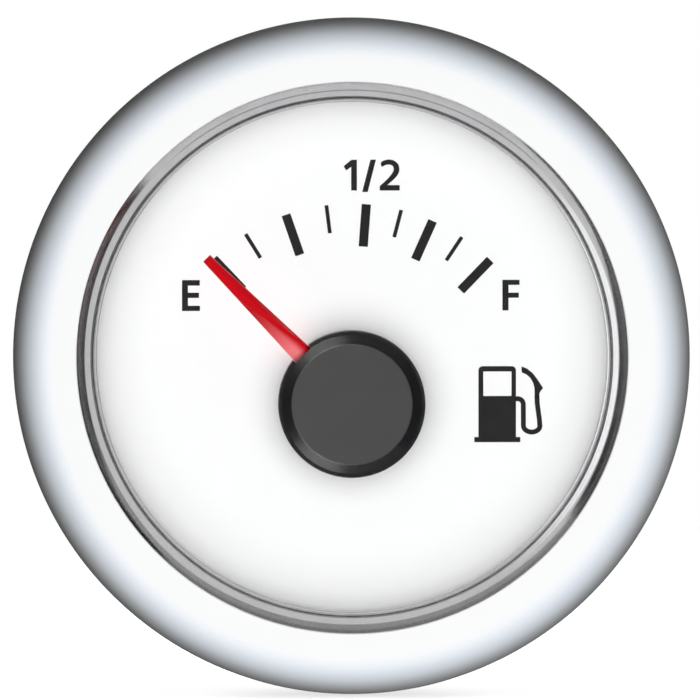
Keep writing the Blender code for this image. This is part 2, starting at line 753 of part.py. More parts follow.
def make_board(surface):
    holes = [circle(SHAFT_WINDOW, SMALL_SEGMENTS, OUTPUT_AXIS)]
    holes += [circle(PEG_RADIUS + HOLE_MARGIN, PIN_SEGMENTS, at) for at in peg_places()]
    holes += [circle(MOTOR_PIN_RADIUS + HOLE_MARGIN, WIRE_SEGMENTS, at) for at in motor_pin_places()]
    holes += contact_holes()
    plate("circuit_board", circle(STACK_RADIUS, INNER_SEGMENTS), BOARD_FRONT, BOARD_REAR, surface, holes)


def make_components(chip, metal):
    front = BOARD_REAR + SEAT_GAP
    side = MOVEMENT_WIDTH / 2 + SIDE_ROOM
    blocks = (
        ("driver_chip", DRIVER_CHIP, (0.0, MOVEMENT_TOP + CHIP_ROOM)),
        ("voltage_regulator", REGULATOR, (-side, 0.0)),
        ("input_diode", INPUT_DIODE, (side, -DIODE_DROP)),
    )
    for name, (width, height, depth), at in blocks:
        plate(name, rectangle(width, height), front, front + depth, chip, at=at)
    radius, end = CAPACITOR_RADIUS, front + CAPACITOR_HEIGHT
    can = [(0.0, front), (radius, front), (radius, end), (0.0, end)]
    turned("buffer_capacitor", can, metal, at=(side, CAPACITOR_RISE), segments=SMALL_SEGMENTS)


def make_contacts(plastic, tinned):
    front = BOARD_REAR + SEAT_GAP
    outline = rectangle(CARRIER_WIDTH, CARRIER_HEIGHT, (0.0, CONTACT_CENTRE))
    plate("contact_carrier", outline, front, front + CARRIER_DEPTH, plastic, contact_holes())
    tip = CONTACT_SIZE / 4
    for index, centre in enumerate(contact_places()):
        pin = rectangle(CONTACT_SIZE, CONTACT_SIZE)
        made = plate(
            f"contact_pin_{index + 1}", pin, BOARD_FRONT - CONTACT_SIZE, CONTACT_END, tinned, at=centre
        )
        for vertex in made.data.vertices:
            if vertex.co.y > BARREL_LENGTH:
                vertex.co.x -= math.copysign(tip, vertex.co.x)
                vertex.co.z -= math.copysign(tip, vertex.co.z)


# Movement

def movement_outline(inset=0.0):
    height = MOVEMENT_TOP + MOVEMENT_BOTTOM
    middle = (0.0, (MOVEMENT_TOP - MOVEMENT_BOTTOM) / 2)
    return rounded_rectangle(
        MOVEMENT_WIDTH - 2 * inset, height - 2 * inset, MOVEMENT_CORNER - inset, middle
    )


def make_movement_cover(surface):
    bores = [
        circle(SHAFT_RADIUS + RUN_GAP, PIN_SEGMENTS, OUTPUT_AXIS),
        circle(PIVOT_RADIUS + RUN_GAP, PIN_SEGMENTS, LAY_AXIS),
        circle(PIVOT_RADIUS + RUN_GAP, PIN_SEGMENTS, ROTOR_AXIS),
    ]
    bores += [circle(MOTOR_PIN_RADIUS + HOLE_MARGIN, WIRE_SEGMENTS, at) for at in motor_pin_places()]
    cover = plate("movement_cover", movement_outline(), COVER_FRONT, COVER_REAR, surface, bores)
    pegs = [circle(PEG_RADIUS, PIN_SEGMENTS, at) for at in peg_places()]
    tool = plates("peg_tool", pegs, BOARD_FRONT, COVER_REAR - MOVEMENT_WALL / 2)
    combine(cover, tool, "UNION", solver="MANIFOLD")


def make_movement_case(surface):
    rim = COVER_REAR + SEAT_GAP
    case = plate("movement_case", movement_outline(), rim, CASE_REAR, surface)
    cavity = plates("case_cavity_tool", [movement_outline(MOVEMENT_WALL)], rim - MOVEMENT_WALL, CASE_FLOOR)
    combine(case, cavity, "DIFFERENCE")
    bearings = (
        ("output", OUTPUT_AXIS, SHAFT_RADIUS, LAY_WHEEL_REAR),
        ("layshaft", LAY_AXIS, PIVOT_RADIUS, LAY_WHEEL_REAR + LEVEL_GAP),
        ("rotor", ROTOR_AXIS, PIVOT_RADIUS, MAGNET_REAR + SEAT_GAP),
    )
    for name, axis, shaft, front in bearings:
        middle = CASE_FLOOR + MOVEMENT_WALL / 3
        post = circle((1 + POST_WALL) * shaft + 2 * RUN_GAP, PIN_SEGMENTS, axis)
        bore = circle(shaft + RUN_GAP, PIN_SEGMENTS, axis)
        combine(case, plates(f"{name}_post_tool", [post], front, middle), "UNION")
        combine(case, plates(f"{name}_bore_tool", [bore], front - MOVEMENT_WALL, middle), "DIFFERENCE")


def make_stator(steel):
    """Flat core: a bar round the rotor, two coil legs, a return bar and a centre leg."""
    half = STATOR_BAR / 2
    rotor_z = ROTOR_AXIS[1]
    bar = STATOR_REACH
    outer = COIL_X + half
    inner = COIL_X - half
    low = COIL_BOTTOM - BOBBIN_FLANGE - STATOR_BAR
    leg_right = -((1 + POST_WALL) * SHAFT_RADIUS + 2 * RUN_GAP + SEAT_GAP)
    leg_left = leg_right - STATOR_BAR
    under_bar = COIL_TOP + BOBBIN_FLANGE / 2
    outline = [
        (-outer, low),
        (outer, low),
        (outer, rotor_z + bar / 2),
        (bar, rotor_z + bar),
        (-bar, rotor_z + bar),
        (-outer, rotor_z + bar / 2),
    ]
    right_window = [
        (leg_right, low + STATOR_BAR),
        (inner, low + STATOR_BAR),
        (inner, under_bar),
        (bar, under_bar),
        (leg_right, rotor_z - bar),
    ]
    left_window = [
        (-inner, low + STATOR_BAR),
        (leg_left, low + STATOR_BAR),
        (leg_left, rotor_z - bar),
        (-bar, under_bar),
        (-inner, under_bar),
    ]
    bore = circle(MAGNET_RADIUS + MAGNET_GAP, SMALL_SEGMENTS, ROTOR_AXIS)
    plate(
        "stator_core", outline, STATOR_FRONT, STATOR_REAR, steel, [bore, right_window, left_window]
    )


def upright_tube(name, centre, sizes, hole, low, high, surface):
    """A rectangular tube with its axis along Z, as (width, depth) outside and hole."""
    bm = bmesh.new()
    outline = rounded_rectangle(*sizes, min(sizes) / 6, steps=EDGE_STEPS - 1)
    add_plate(bm, outline, 0.0, high - low, [rectangle(*hole)])
    for vertex in bm.verts:
        x, along, depth = vertex.co
        vertex.co = (x, depth, along)
    made = place(name, bm, surface)
    made.location = (centre[0], centre[1], low)
    return made


def make_coils(plastic, copper):
    core_hole = (STATOR_BAR + SEAT_GAP, STATOR_THICKNESS + SEAT_GAP)
    barrel = tuple(size + 2 * BOBBIN_WALL for size in core_hole)
    winding = (COIL_WIDTH - SEAT_GAP, COIL_DEPTH - SEAT_GAP)
    winding_hole = tuple(size + SEAT_GAP for size in barrel)
    flange = (COIL_WIDTH, COIL_DEPTH)
    for side, label in ((-1, "left"), (1, "right")):
        middle = (side * COIL_X, COIL_MIDDLE)
        bobbin = upright_tube(
            f"{label}_bobbin", middle, barrel, core_hole, COIL_BOTTOM, COIL_TOP, plastic
        )
        for end, low in (("lower", COIL_BOTTOM), ("upper", COIL_TOP - BOBBIN_FLANGE)):
            tool = upright_tube(
                f"{label}_{end}_flange_tool", middle, flange, core_hole, low, low + BOBBIN_FLANGE, plastic
            )
            tool.hide_render = True
            tool.display_type = "WIRE"
            combine(bobbin, tool, "UNION")
        low = COIL_BOTTOM + BOBBIN_FLANGE + SEAT_GAP
        high = COIL_TOP - BOBBIN_FLANGE - SEAT_GAP
        upright_tube(f"{label}_coil", middle, winding, winding_hole, low, high, copper)


def make_motor_pins(tinned):
    rear = COIL_MIDDLE - COIL_DEPTH / 2 - SEAT_GAP
    for index, centre in enumerate(motor_pin_places()):
        outline = circle(MOTOR_PIN_RADIUS, WIRE_SEGMENTS)
        front = BOARD_FRONT - MOTOR_PIN_RADIUS
        plate(f"motor_pin_{index + 1}", outline, front, rear, tinned, at=centre)


def make_rotor(magnet, plastic):
    bore = PIVOT_RADIUS + RUN_GAP + SEAT_GAP
    outline = [
        (bore, MAGNET_FRONT),
        (MAGNET_RADIUS, MAGNET_FRONT),
        (MAGNET_RADIUS, MAGNET_REAR),
        (bore, MAGNET_REAR),
    ]
    turned("rotor_magnet", outline, magnet, at=ROTOR_AXIS, segments=SMALL_SEGMENTS)
    phase = direction(ROTOR_AXIS, LAY_AXIS)
    teeth = gear_outline(PINION_TEETH, PINION_SHIFT, phase, PINION_FLANK_STEPS)
    overhang = (PINION_FACE - WHEEL_THICKNESS) / 2
    pinion = plate(
        "rotor_pinion", teeth, LAY_WHEEL_FRONT - overhang, LAY_WHEEL_REAR + overhang, plastic,
        at=ROTOR_AXIS,
    )
    add_arbor(pinion, COVER_FRONT + RUN_GAP, CASE_FLOOR, PIVOT_RADIUS, ROTOR_AXIS)


def add_arbor(gear, front, rear, radius, axis):
    """Fuses a round arbor along the gear's own axis."""
    outline = [(0.0, front), (radius, front), (radius, rear), (0.0, rear)]
    tool = turned(f"{gear.name}_arbor_tool", outline, None, at=axis, segments=PIN_SEGMENTS, helper=True)
    combine(gear, tool, "UNION")


def make_layshaft(plastic):
    wheel_phase = meshing_phase(ROTOR_AXIS, LAY_AXIS, LAY_WHEEL_TEETH)
    outline = gear_outline(LAY_WHEEL_TEETH, -PINION_SHIFT, wheel_phase, WHEEL_FLANK_STEPS)
    gear = plate(
        "layshaft_gear", outline, LAY_WHEEL_FRONT, LAY_WHEEL_REAR, plastic, at=LAY_AXIS
    )
    pinion_phase = direction(LAY_AXIS, OUTPUT_AXIS)
    teeth = gear_outline(PINION_TEETH, PINION_SHIFT, pinion_phase, PINION_FLANK_STEPS)
    overhang = (PINION_FACE - WHEEL_THICKNESS) / 2
    pinion = plate(
        "layshaft_pinion_tool", teeth, OUTPUT_WHEEL_FRONT - overhang,
        LAY_WHEEL_REAR - WHEEL_THICKNESS / 2, None, at=LAY_AXIS, helper=True,
    )
    combine(gear, pinion, "UNION")
    add_arbor(gear, COVER_FRONT + RUN_GAP, CASE_FLOOR, PIVOT_RADIUS, LAY_AXIS)


def make_output(plastic, steel):
    phase = meshing_phase(LAY_AXIS, OUTPUT_AXIS, OUTPUT_WHEEL_TEETH)
    outline = gear_outline(OUTPUT_WHEEL_TEETH, -PINION_SHIFT, phase, WHEEL_FLANK_STEPS)
    bore = circle(SHAFT_RADIUS + RUN_GAP, PIN_SEGMENTS)
    plate(
        "output_wheel", outline, OUTPUT_WHEEL_FRONT, OUTPUT_WHEEL_REAR, plastic, [bore],
        at=OUTPUT_AXIS,
    )
    front = DIAL_FRONT - POINTER_LIFT - POINTER_RIDGE + SEAT_GAP
    tip = SHAFT_RADIUS / 3
    outline = [
        (0.0, front),
        (SHAFT_RADIUS - tip, front),
        (SHAFT_RADIUS, front + tip),
        (SHAFT_RADIUS, CASE_FLOOR),
        (0.0, CASE_FLOOR),
    ]
    turned("output_shaft", outline, steel, at=OUTPUT_AXIS, segments=PIN_SEGMENTS)


# Pointer

def blade_width(along):
    taper = (POINTER_ROOT_WIDTH - POINTER_TIP_WIDTH) / (POINTER_LENGTH - CAP_RADIUS)
    return POINTER_TIP_WIDTH + taper * (POINTER_LENGTH - along)


def blade_section(along):
    """A ridged section of the blade at a distance from the axis."""
    width = blade_width(along)
    under = DIAL_FRONT - POINTER_LIFT
    return [
        (-width / 2, under, along),
        (width / 2, under, along),
        (width / 2, under - POINTER_EDGE, along),
        (0.0, under - POINTER_RIDGE, along),
        (-width / 2, under - POINTER_EDGE, along),
    ]


def make_pointer(red):
    under = DIAL_FRONT - POINTER_LIFT
    top = under - POINTER_RIDGE
    bore = SHAFT_RADIUS + RUN_GAP
    bore_top = top + SEAT_GAP / 2
    hub_rear = DIAL_FRONT - CAP_LIFT
    outline = [
        (0.0, top - SEAT_GAP),
        (POINTER_HUB_RADIUS, top - SEAT_GAP),
        (POINTER_HUB_RADIUS, under - POINTER_DISC / 2),
        (POINTER_DISC_RADIUS, under - POINTER_DISC / 2),
        (POINTER_DISC_RADIUS, under + POINTER_DISC / 2),
        (POINTER_HUB_RADIUS, under + POINTER_DISC / 2),
        (POINTER_HUB_RADIUS - POINTER_DISC, hub_rear),
        (bore, hub_rear),
        (bore, bore_top),
        (0.0, bore_top),
    ]
    hub = turned("pointer_blade", outline, red, at=OUTPUT_AXIS, segments=SMALL_SEGMENTS)
    bm = bmesh.new()
    near = [bm.verts.new(point) for point in blade_section(POINTER_HUB_RADIUS - POINTER_DISC)]
    far = [bm.verts.new(point) for point in blade_section(POINTER_LENGTH)]
    for i in range(len(near)):
        bm.faces.new((near[i - 1], near[i], far[i], far[i - 1]))
    bm.faces.new(near)
    bm.faces.new(far)
    blade = place("blade_tool", bm, None, OUTPUT_AXIS, helper=True)
    blade.rotation_euler = (0.0, POINTER_REST, 0.0)
    combine(hub, blade, "UNION")


def make_cap(black):
    """A hollow cap that is pushed on over the blade, with a slot in its rim for it."""
    rear = DIAL_FRONT - CAP_LIFT
    front = rear - CAP_HEIGHT
    roof = front + CAP_WALL
    wall_inside = CAP_RADIUS - CAP_WALL
    boss_rear = DIAL_FRONT - POINTER_LIFT - POINTER_RIDGE - 2 * SEAT_GAP
    outline = [
        (0.0, front),
        (CAP_TOP_RADIUS, front),
        (CAP_RADIUS, rear - CAP_WALL_HEIGHT),
        (CAP_RADIUS, rear),
        (wall_inside, rear),
        (wall_inside, roof),
        (CAP_BOSS, roof),
        (CAP_BOSS, boss_rear),
        (0.0, boss_rear),
    ]
    cap = turned("pointer_cap", outline, black, at=OUTPUT_AXIS, segments=INNER_SEGMENTS)
    mouth = CAP_RADIUS - CAP_MOUTH
    slot_start = wall_inside - CAP_WALL
    over = DIAL_FRONT - POINTER_LIFT - POINTER_RIDGE - RUN_GAP
    for name, start, end, top in (
        ("cap_mouth_tool", mouth, CAP_RADIUS + CAP_WALL, front - CAP_WALL),
        ("cap_slot_tool", slot_start, mouth + RUN_GAP, over),
    ):
        half = blade_width(start) / 2 + RUN_GAP
        slot = [(-half, start), (half, start), (half, end), (-half, end)]
        tool = plate(name, slot, top, rear + RUN_GAP, None, at=OUTPUT_AXIS, helper=True)
        tool.rotation_euler = (0.0, POINTER_REST, 0.0)
        combine(cap, tool, "DIFFERENCE")


def clear_scene():
    for old in list(bpy.data.objects):
        bpy.data.objects.remove(old, do_unlink=True)


def main():
    clear_scene()
    white_paint = material("white_paint", (0.86, 0.87, 0.89), 0.25)
    grey_trim = material("grey_trim", (0.33, 0.34, 0.35), 0.28)
    black_plastic = material("black_plastic", (0.03, 0.03, 0.03), 0.45)
    rubber = material("rubber", (0.02, 0.02, 0.02), 0.75)
    glass = material("glass", (0.95, 0.97, 0.97), 0.03, alpha=0.12)
    dial_white = material("dial_white", (0.88, 0.88, 0.88), 0.55)
    clear_plastic = material("clear_plastic", (0.85, 0.90, 0.92), 0.12, alpha=0.5)
    white_plastic = material("white_plastic", (0.82, 0.82, 0.80), 0.5)
    signal_red = material("signal_red", (0.62, 0.01, 0.02), 0.3)
    board_green = material("board_green", (0.02, 0.16, 0.07), 0.4)
    chip_black = material("chip_black", (0.02, 0.02, 0.02), 0.5)
    tinned_brass = material("tinned_brass", (0.75, 0.74, 0.70), 0.3, 1.0)
    steel = material("steel", (0.55, 0.55, 0.56), 0.35, 1.0)
    copper = material("copper", (0.72, 0.33, 0.16), 0.35, 1.0)
    magnet = material("magnet", (0.06, 0.06, 0.065), 0.6)
    amber_plastic = material("amber_plastic", (0.55, 0.48, 0.36), 0.5)

    make_bezel(white_paint)
    make_lens(glass)
    make_seals(rubber)
    make_trim_ring(grey_trim)
    make_housing(black_plastic)
    make_clamp_ring(black_plastic)
    make_dial(dial_white)
    make_light_guide(clear_plastic)
    make_reflector(white_plastic)
    make_leds(amber_plastic)
    make_board(board_green)
    make_components(chip_black, steel)
    make_contacts(black_plastic, tinned_brass)
    make_movement_cover(white_plastic)
    make_movement_case(black_plastic)
    make_stator(steel)
    make_coils(amber_plastic, copper)
    make_motor_pins(tinned_brass)
    make_rotor(magnet, white_plastic)
    make_layshaft(white_plastic)
    make_output(white_plastic, steel)
    make_pointer(signal_red)
    make_cap(black_plastic)


main()
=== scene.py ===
import json
import math

import bmesh
import bpy
from mathutils import Matrix, Vector
from mathutils.geometry import tessellate_polygon

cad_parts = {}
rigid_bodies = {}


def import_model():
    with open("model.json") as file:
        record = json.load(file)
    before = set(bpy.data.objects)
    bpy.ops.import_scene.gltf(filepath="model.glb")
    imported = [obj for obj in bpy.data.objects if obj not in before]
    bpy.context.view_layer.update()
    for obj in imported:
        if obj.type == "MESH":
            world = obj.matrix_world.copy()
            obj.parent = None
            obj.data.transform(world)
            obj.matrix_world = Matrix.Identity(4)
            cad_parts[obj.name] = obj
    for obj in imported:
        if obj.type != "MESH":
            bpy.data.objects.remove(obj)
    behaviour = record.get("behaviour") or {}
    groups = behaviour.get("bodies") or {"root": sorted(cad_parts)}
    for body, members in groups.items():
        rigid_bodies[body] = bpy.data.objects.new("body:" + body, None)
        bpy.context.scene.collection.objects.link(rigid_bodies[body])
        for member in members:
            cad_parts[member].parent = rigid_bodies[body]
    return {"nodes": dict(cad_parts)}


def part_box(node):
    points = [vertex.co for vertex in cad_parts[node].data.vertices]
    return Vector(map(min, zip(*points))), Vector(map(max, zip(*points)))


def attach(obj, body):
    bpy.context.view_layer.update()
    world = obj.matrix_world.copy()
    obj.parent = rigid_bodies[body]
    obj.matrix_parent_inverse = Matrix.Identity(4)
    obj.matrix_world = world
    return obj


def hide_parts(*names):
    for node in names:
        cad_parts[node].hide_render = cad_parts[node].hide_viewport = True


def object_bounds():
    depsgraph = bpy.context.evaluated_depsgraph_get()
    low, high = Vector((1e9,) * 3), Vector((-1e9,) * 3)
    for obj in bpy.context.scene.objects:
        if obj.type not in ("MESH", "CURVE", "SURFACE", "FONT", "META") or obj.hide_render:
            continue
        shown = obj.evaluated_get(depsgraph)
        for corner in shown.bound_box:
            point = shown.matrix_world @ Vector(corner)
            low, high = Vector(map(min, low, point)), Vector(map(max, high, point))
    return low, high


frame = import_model()
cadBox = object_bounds()
nodes = frame["nodes"]
mm = 0.001
print("frame loaded:", len(nodes), "nodes")

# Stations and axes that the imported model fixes, in metres

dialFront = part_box("dial_plate")[0].y
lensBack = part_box("lens")[1].y
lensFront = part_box("lens")[0].y
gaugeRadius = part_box("bezel_ring")[1].x
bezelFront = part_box("bezel_ring")[0].y
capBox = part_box("pointer_cap")
hubX = (capBox[0].x + capBox[1].x) / 2
hubZ = (capBox[0].z + capBox[1].z) / 2
restTurn = math.radians(-44.9)  # the pointer at E, clockwise from upright
ridgeCross = 10.35 * mm  # the blade's ridge crosses its middle this far from the hub
ridgeSlope = 0.18
hubPlace = Matrix.Translation((hubX, 0.0, hubZ)) @ Matrix.Rotation(restTurn, 4, "Y")


class Signal:  # a node's output that works in Python sums
    def __init__(self, finish, socket):
        self.finish = finish
        self.socket = socket

    def sum(self, operation, *others):
        values = dict(enumerate((self, *others)))
        return self.finish.add("Math", {"operation": operation}, values)

    def turned(self, operation, other):
        return self.finish.add("Math", {"operation": operation}, {0: other, 1: self})

    def __add__(self, other):
        return self.sum("ADD", other)

    def __sub__(self, other):
        return self.sum("SUBTRACT", other)

    def __mul__(self, other):
        return self.sum("MULTIPLY", other)

    def __truediv__(self, other):
        return self.sum("DIVIDE", other)

    def __pow__(self, other):
        return self.sum("POWER", other)

    def __radd__(self, other):
        return self.turned("ADD", other)

    def __rsub__(self, other):
        return self.turned("SUBTRACT", other)

    def within(self, low, high):  # 0 below low, 1 above high, smooth between
        settings = {"interpolation_type": "SMOOTHSTEP"}
        return self.finish.add("MapRange", settings, {0: self, 1: low, 2: high})


def addNode(tree, kind, settings, inputs):  # an input takes a value, a signal, a socket or a node
    node = tree.nodes.new(kind)
    for name, value in (settings or {}).items():
        setattr(node, name, value)
    for name, value in (inputs or {}).items():
        source = value.socket if isinstance(value, Signal) else value
        source = source.outputs[0] if isinstance(source, bpy.types.Node) else source
        if isinstance(source, bpy.types.NodeSocket):
            tree.links.new(source, node.inputs[name])
        else:
            node.inputs[name].default_value = source
    return node


class Finish:  # a shader tree that is filled by expressions
    def __init__(self, owner):
        owner.use_nodes = True
        self.tree = owner.node_tree
        self.tree.nodes.clear()
        self.owner = owner

    def add(self, kind, settings=None, inputs=None, output=0):
        node = addNode(self.tree, f"ShaderNode{kind}", settings, inputs)
        return Signal(self, node.outputs[output]) if len(node.outputs) else None

    def place(self, scale=(1.0, 1.0, 1.0), centre=(0.0, 0.0, 0.0)):
        raw = self.add("TexCoord", output="Object")
        moved = {"Vector": raw, "Location": tuple(-s * c for s, c in zip(scale, centre))}
        return self.add("Mapping", None, {**moved, "Scale": scale})

    def axes(self, place):
        return [self.add("SeparateXYZ", None, {0: place}, i) for i in range(3)]

    def radius(self, place):  # distance from the Y axis
        x, _, z = self.axes(place)
        return (x * x + z * z) ** 0.5

    def grain(self, place, size, detail=2.0, rough=0.5):
        values = {"Vector": place, "Scale": 1 / size, "Detail": detail, "Roughness": rough}
        return self.add("TexNoise", None, values)

    def mixed(self, factor, low, high):
        return self.add("Mix", {"data_type": "RGBA"}, {0: factor, 6: low, 7: high}, 2)

    def bumped(self, height, depth, strength):
        values = {"Height": height, "Distance": depth, "Strength": strength}
        return self.add("Bump", None, values)

    def seen(self):  # 1 for rays that reach the camera straight, through glass or by reflection
        kinds = ("Camera", "Glossy", "Transmission")
        rays = [self.add("LightPath", output=f"Is {kind} Ray") for kind in kinds]
        return rays[0].sum("MAXIMUM", rays[1]).sum("MAXIMUM", rays[2])

    def principled(self, **values):
        names = {name.replace("_", " "): value for name, value in values.items()}
        return self.add("BsdfPrincipled", None, names)

    def painted(self, **values):
        return self.finished(self.principled(**values))

    def finished(self, surface):
        kind = "World" if isinstance(self.owner, bpy.types.World) else "Material"
        self.add(f"Output{kind}", None, {"Surface": surface})
        return self.owner


def newFinish(name):
    return Finish(bpy.data.materials.new(name))


def rgb(red, green, blue):
    return (red, green, blue, 1.0)


def bezelPaintAndShade():  # satin white paint with painted shade: it turns cooler and then greyer where it rolls over, standing in for the rim falling into shade
    look = {
        "flat": rgb(0.86, 0.862, 0.862),
        # painted shade: the roll and edge colours stand in for the rim darkening as it turns away from the
        # light
        "roll": rgb(0.805, 0.855, 0.915),
        "edge": rgb(0.66, 0.675, 0.68),
        "mottle": rgb(0.66, 0.70, 0.76),
        "paintedShadeCooling": (25.8 * mm, 27.5 * mm),  # between these radii
        "paintedShadeGreying": (28.1 * mm, 29.2 * mm),
    }
    made = newFinish("bezel paint")
    place = made.place()
    radius = made.radius(place)
    # painted shade masks: a cool tint, then grey, towards the outer rim
    shadeCool = radius.within(*look["paintedShadeCooling"])
    grey = radius.within(*look["paintedShadeGreying"])
    streaks = made.grain(made.place((1.0, 1.0, 0.12)), 0.00035, 3.0)
    mottled = made.grain(place, 0.004, 3.0)
    base = made.mixed(shadeCool, look["flat"], look["roll"])
    base = made.mixed(grey, base, look["edge"])
    uneven = (mottled - 0.5) * 0.10 + (streaks - 0.5) * shadeCool * 0.16 + 0.05
    base = made.mixed(uneven, base, look["mottle"])
    peel = made.grain(place, 0.00045, 2.0)
    return made.painted(
        Base_Color=base,
        Roughness=0.36 + mottled * 0.06,
        Specular_IOR_Level=0.1,
        Normal=made.bumped(peel, 0.000004, 0.5),
    )


def trimMetal():  # glossy grey ring with fine turning marks
    made = newFinish("trim metal")
    place = made.place()
    radius = made.radius(place)
    marks = made.grain(made.add("CombineXYZ", None, {0: radius}), 0.00006, 2.0)
    cloud = made.grain(place, 0.003, 3.0)
    base = made.mixed(cloud, rgb(0.50, 0.495, 0.505), rgb(0.58, 0.575, 0.58))
    return made.painted(
        Base_Color=base,
        Metallic=1.0,
        Roughness=0.09 + marks * 0.08,
        Normal=made.bumped(marks, 0.000002, 0.4),
    )


def lensGlass():
    made = newFinish("lens glass")
    lamps = made.add("LightPath", output="Is Shadow Ray")
    tint = rgb(0.985, 0.99, 0.99)
    glass = made.principled(Base_Color=tint, Roughness=0.0, IOR=1.4, Transmission_Weight=1.0)
    clear = made.add("BsdfTransparent")
    return made.finished(made.add("MixShader", None, {0: lamps, 1: glass, 2: clear}))


def dialWhite():
    made = newFinish("dial white")
    place = made.place()
    cloud = made.grain(place, 0.006, 3.0)
    base = made.mixed(cloud, rgb(0.925, 0.925, 0.93), rgb(0.945, 0.945, 0.945))
    tooth = made.grain(place, 0.00025, 2.0)
    return made.painted(
        Base_Color=base,
        Roughness=0.62,
        Specular_IOR_Level=0.15,
        Normal=made.bumped(tooth, 0.000003, 0.3),
    )


def printInk():
    made = newFinish("print ink")
    place = made.place()
    cloud = made.grain(place, 0.0012, 3.0)
    base = made.mixed(cloud, rgb(0.014, 0.013, 0.013), rgb(0.024, 0.022, 0.022))
    return made.painted(Base_Color=base, Roughness=0.6, Specular_IOR_Level=0.1)


def pointerRedWithHighlight():  # red moulding with a painted highlight on its near facet, paler towards the hub
    look = {
        "ridgeLimit": 0.57 * mm,
        "softEdge": 0.17 * mm,
        "leastEdge": 0.12 * mm,
        "paintedHighlightEnd": 12.4 * mm,  # from the hub
        "paintedHighlightRun": 5.4 * mm,
    }
    made = newFinish("pointer red")
    place = made.place((1.0, 1.0, 1.0), (hubX, 0.0, hubZ))
    x, _, z = made.axes(place)
    along = x * math.sin(restTurn) + z * math.cos(restTurn)
    across = x * math.cos(restTurn) - z * math.sin(restTurn)
    ridge = ((ridgeCross - along) * ridgeSlope).sum("MINIMUM", look["ridgeLimit"])
    soft = (ridge + look["softEdge"]).sum("MAXIMUM", look["leastEdge"])
    facet = (ridge - across).within(0.0, soft)
    near = ((look["paintedHighlightEnd"] - along) / look["paintedHighlightRun"]).sum("MAXIMUM", 0.0).sum("MINIMUM", 1.0)
    cloud = made.grain(place, 0.0009, 3.0)
    base = made.mixed(cloud, rgb(0.55, 0.002, 0.006), rgb(0.61, 0.004, 0.012))
    # painted highlight: the near facet is mixed paler towards the hub, where it catches the light
    base = made.mixed(facet * near ** 1.6, base, rgb(0.88, 0.20, 0.215))
    return made.painted(
        Base_Color=base,
        Roughness=0.32 + cloud * 0.08,
        Specular_IOR_Level=0.12,
        Normal=made.bumped(made.grain(place, 0.0003, 2.0), 0.000003, 0.4),
    )


def capBlack():  # black moulding with a paler matt top
    topEdge = (-4.98 * mm, -4.94 * mm)  # the flat top lies in front of these stations
    made = newFinish("cap black")
    place = made.place()
    top = 1.0 - made.axes(place)[1].within(*topEdge)
    cloud = made.grain(place, 0.003, 3.0)
    base = made.mixed(top, rgb(0.006, 0.006, 0.007), rgb(0.041, 0.041, 0.040))
    base = made.mixed(cloud * top * 0.3, base, rgb(0.065, 0.065, 0.063))
    return made.painted(
        Base_Color=base,
        Roughness=0.26 + top * 0.25,
        Specular_IOR_Level=0.3,
        Normal=made.bumped(made.grain(place, 0.00012, 2.0), 0.000004, 0.5),
    )


def mouldedPlastic(name, dark, pale, grainSize, roughness, shine=0.4):
    made = newFinish(name)
    place = made.place()
    cloud = made.grain(place, 0.005, 4.0)
    spark = made.grain(place, grainSize * mm, 3.0, 0.65)
    base = made.mixed(cloud * 0.7 + spark * 0.3, rgb(*dark), rgb(*pale))
    return made.painted(
        Base_Color=base,
        Roughness=roughness - 0.06 + spark * 0.16,
        Specular_IOR_Level=shine,
        Normal=made.bumped(spark, 0.000006, 0.6),
    )


def metalFinish(name, dark, pale, grainSize, roughness):  # streaked along Y
    made = newFinish(name)
    cloud = made.grain(made.place(), 0.002, 3.0)
    streak = made.grain(made.place((1.0, 0.1, 1.0)), grainSize * mm, 3.0)
    base = made.mixed(cloud * 0.5 + streak * 0.5, rgb(*dark), rgb(*pale))
    return made.painted(
        Base_Color=base,
        Metallic=1.0,
        Roughness=roughness - 0.08 + streak * 0.2,
        Normal=made.bumped(streak, 0.000002, 0.4),
    )


def copperWinding():  # enamelled wire laid side by side
    wirePitch = 0.12 * mm
    made = newFinish("copper winding")
    place = made.place()
    wires = (made.axes(place)[2] * (2 * math.pi / wirePitch)).sum("SINE") * 0.5 + 0.5
    base = made.mixed(wires, rgb(0.30, 0.09, 0.035), rgb(0.80, 0.36, 0.16))
    return made.painted(
        Base_Color=base,
        Metallic=0.85,
        Roughness=0.3 + made.grain(place, 0.0006) * 0.15,
        Normal=made.bumped(wires, 0.00003, 0.8),
    )


def boardGreen():  # solder mask over copper tracks
    made = newFinish("board green")
    place = made.place()
    settings = {"distance": "CHEBYCHEV", "feature": "DISTANCE_TO_EDGE"}
    values = {"Vector": place, "Scale": 1 / 0.0028, "Randomness": 0.55}
    tracks = 1.0 - made.add("TexVoronoi", settings, values).within(0.04, 0.07)
    cloud = made.grain(place, 0.004, 3.0)
    base = made.mixed(cloud, rgb(0.010, 0.10, 0.035), rgb(0.016, 0.15, 0.055))
    base = made.mixed(tracks, base, rgb(0.05, 0.26, 0.09))
    mask = made.bumped(tracks, 0.00003, 0.6)
    return made.painted(Base_Color=base, Roughness=0.30 + cloud * 0.1, Normal=mask)


def lampFace():  # pale package with a yellow phosphor window
    windowEdge = (4.52 * mm, 4.58 * mm)  # the window lies in front of these stations
    made = newFinish("lamp package")
    place = made.place()
    front = 1.0 - made.axes(place)[1].within(*windowEdge)
    cloud = made.grain(place, 0.0005, 3.0)
    base = made.mixed(front, rgb(0.78, 0.76, 0.70), rgb(0.80, 0.56, 0.10))
    base = made.mixed(cloud * 0.3, base, rgb(0.88, 0.84, 0.70))
    return made.painted(Base_Color=base, Roughness=0.35 + cloud * 0.2)


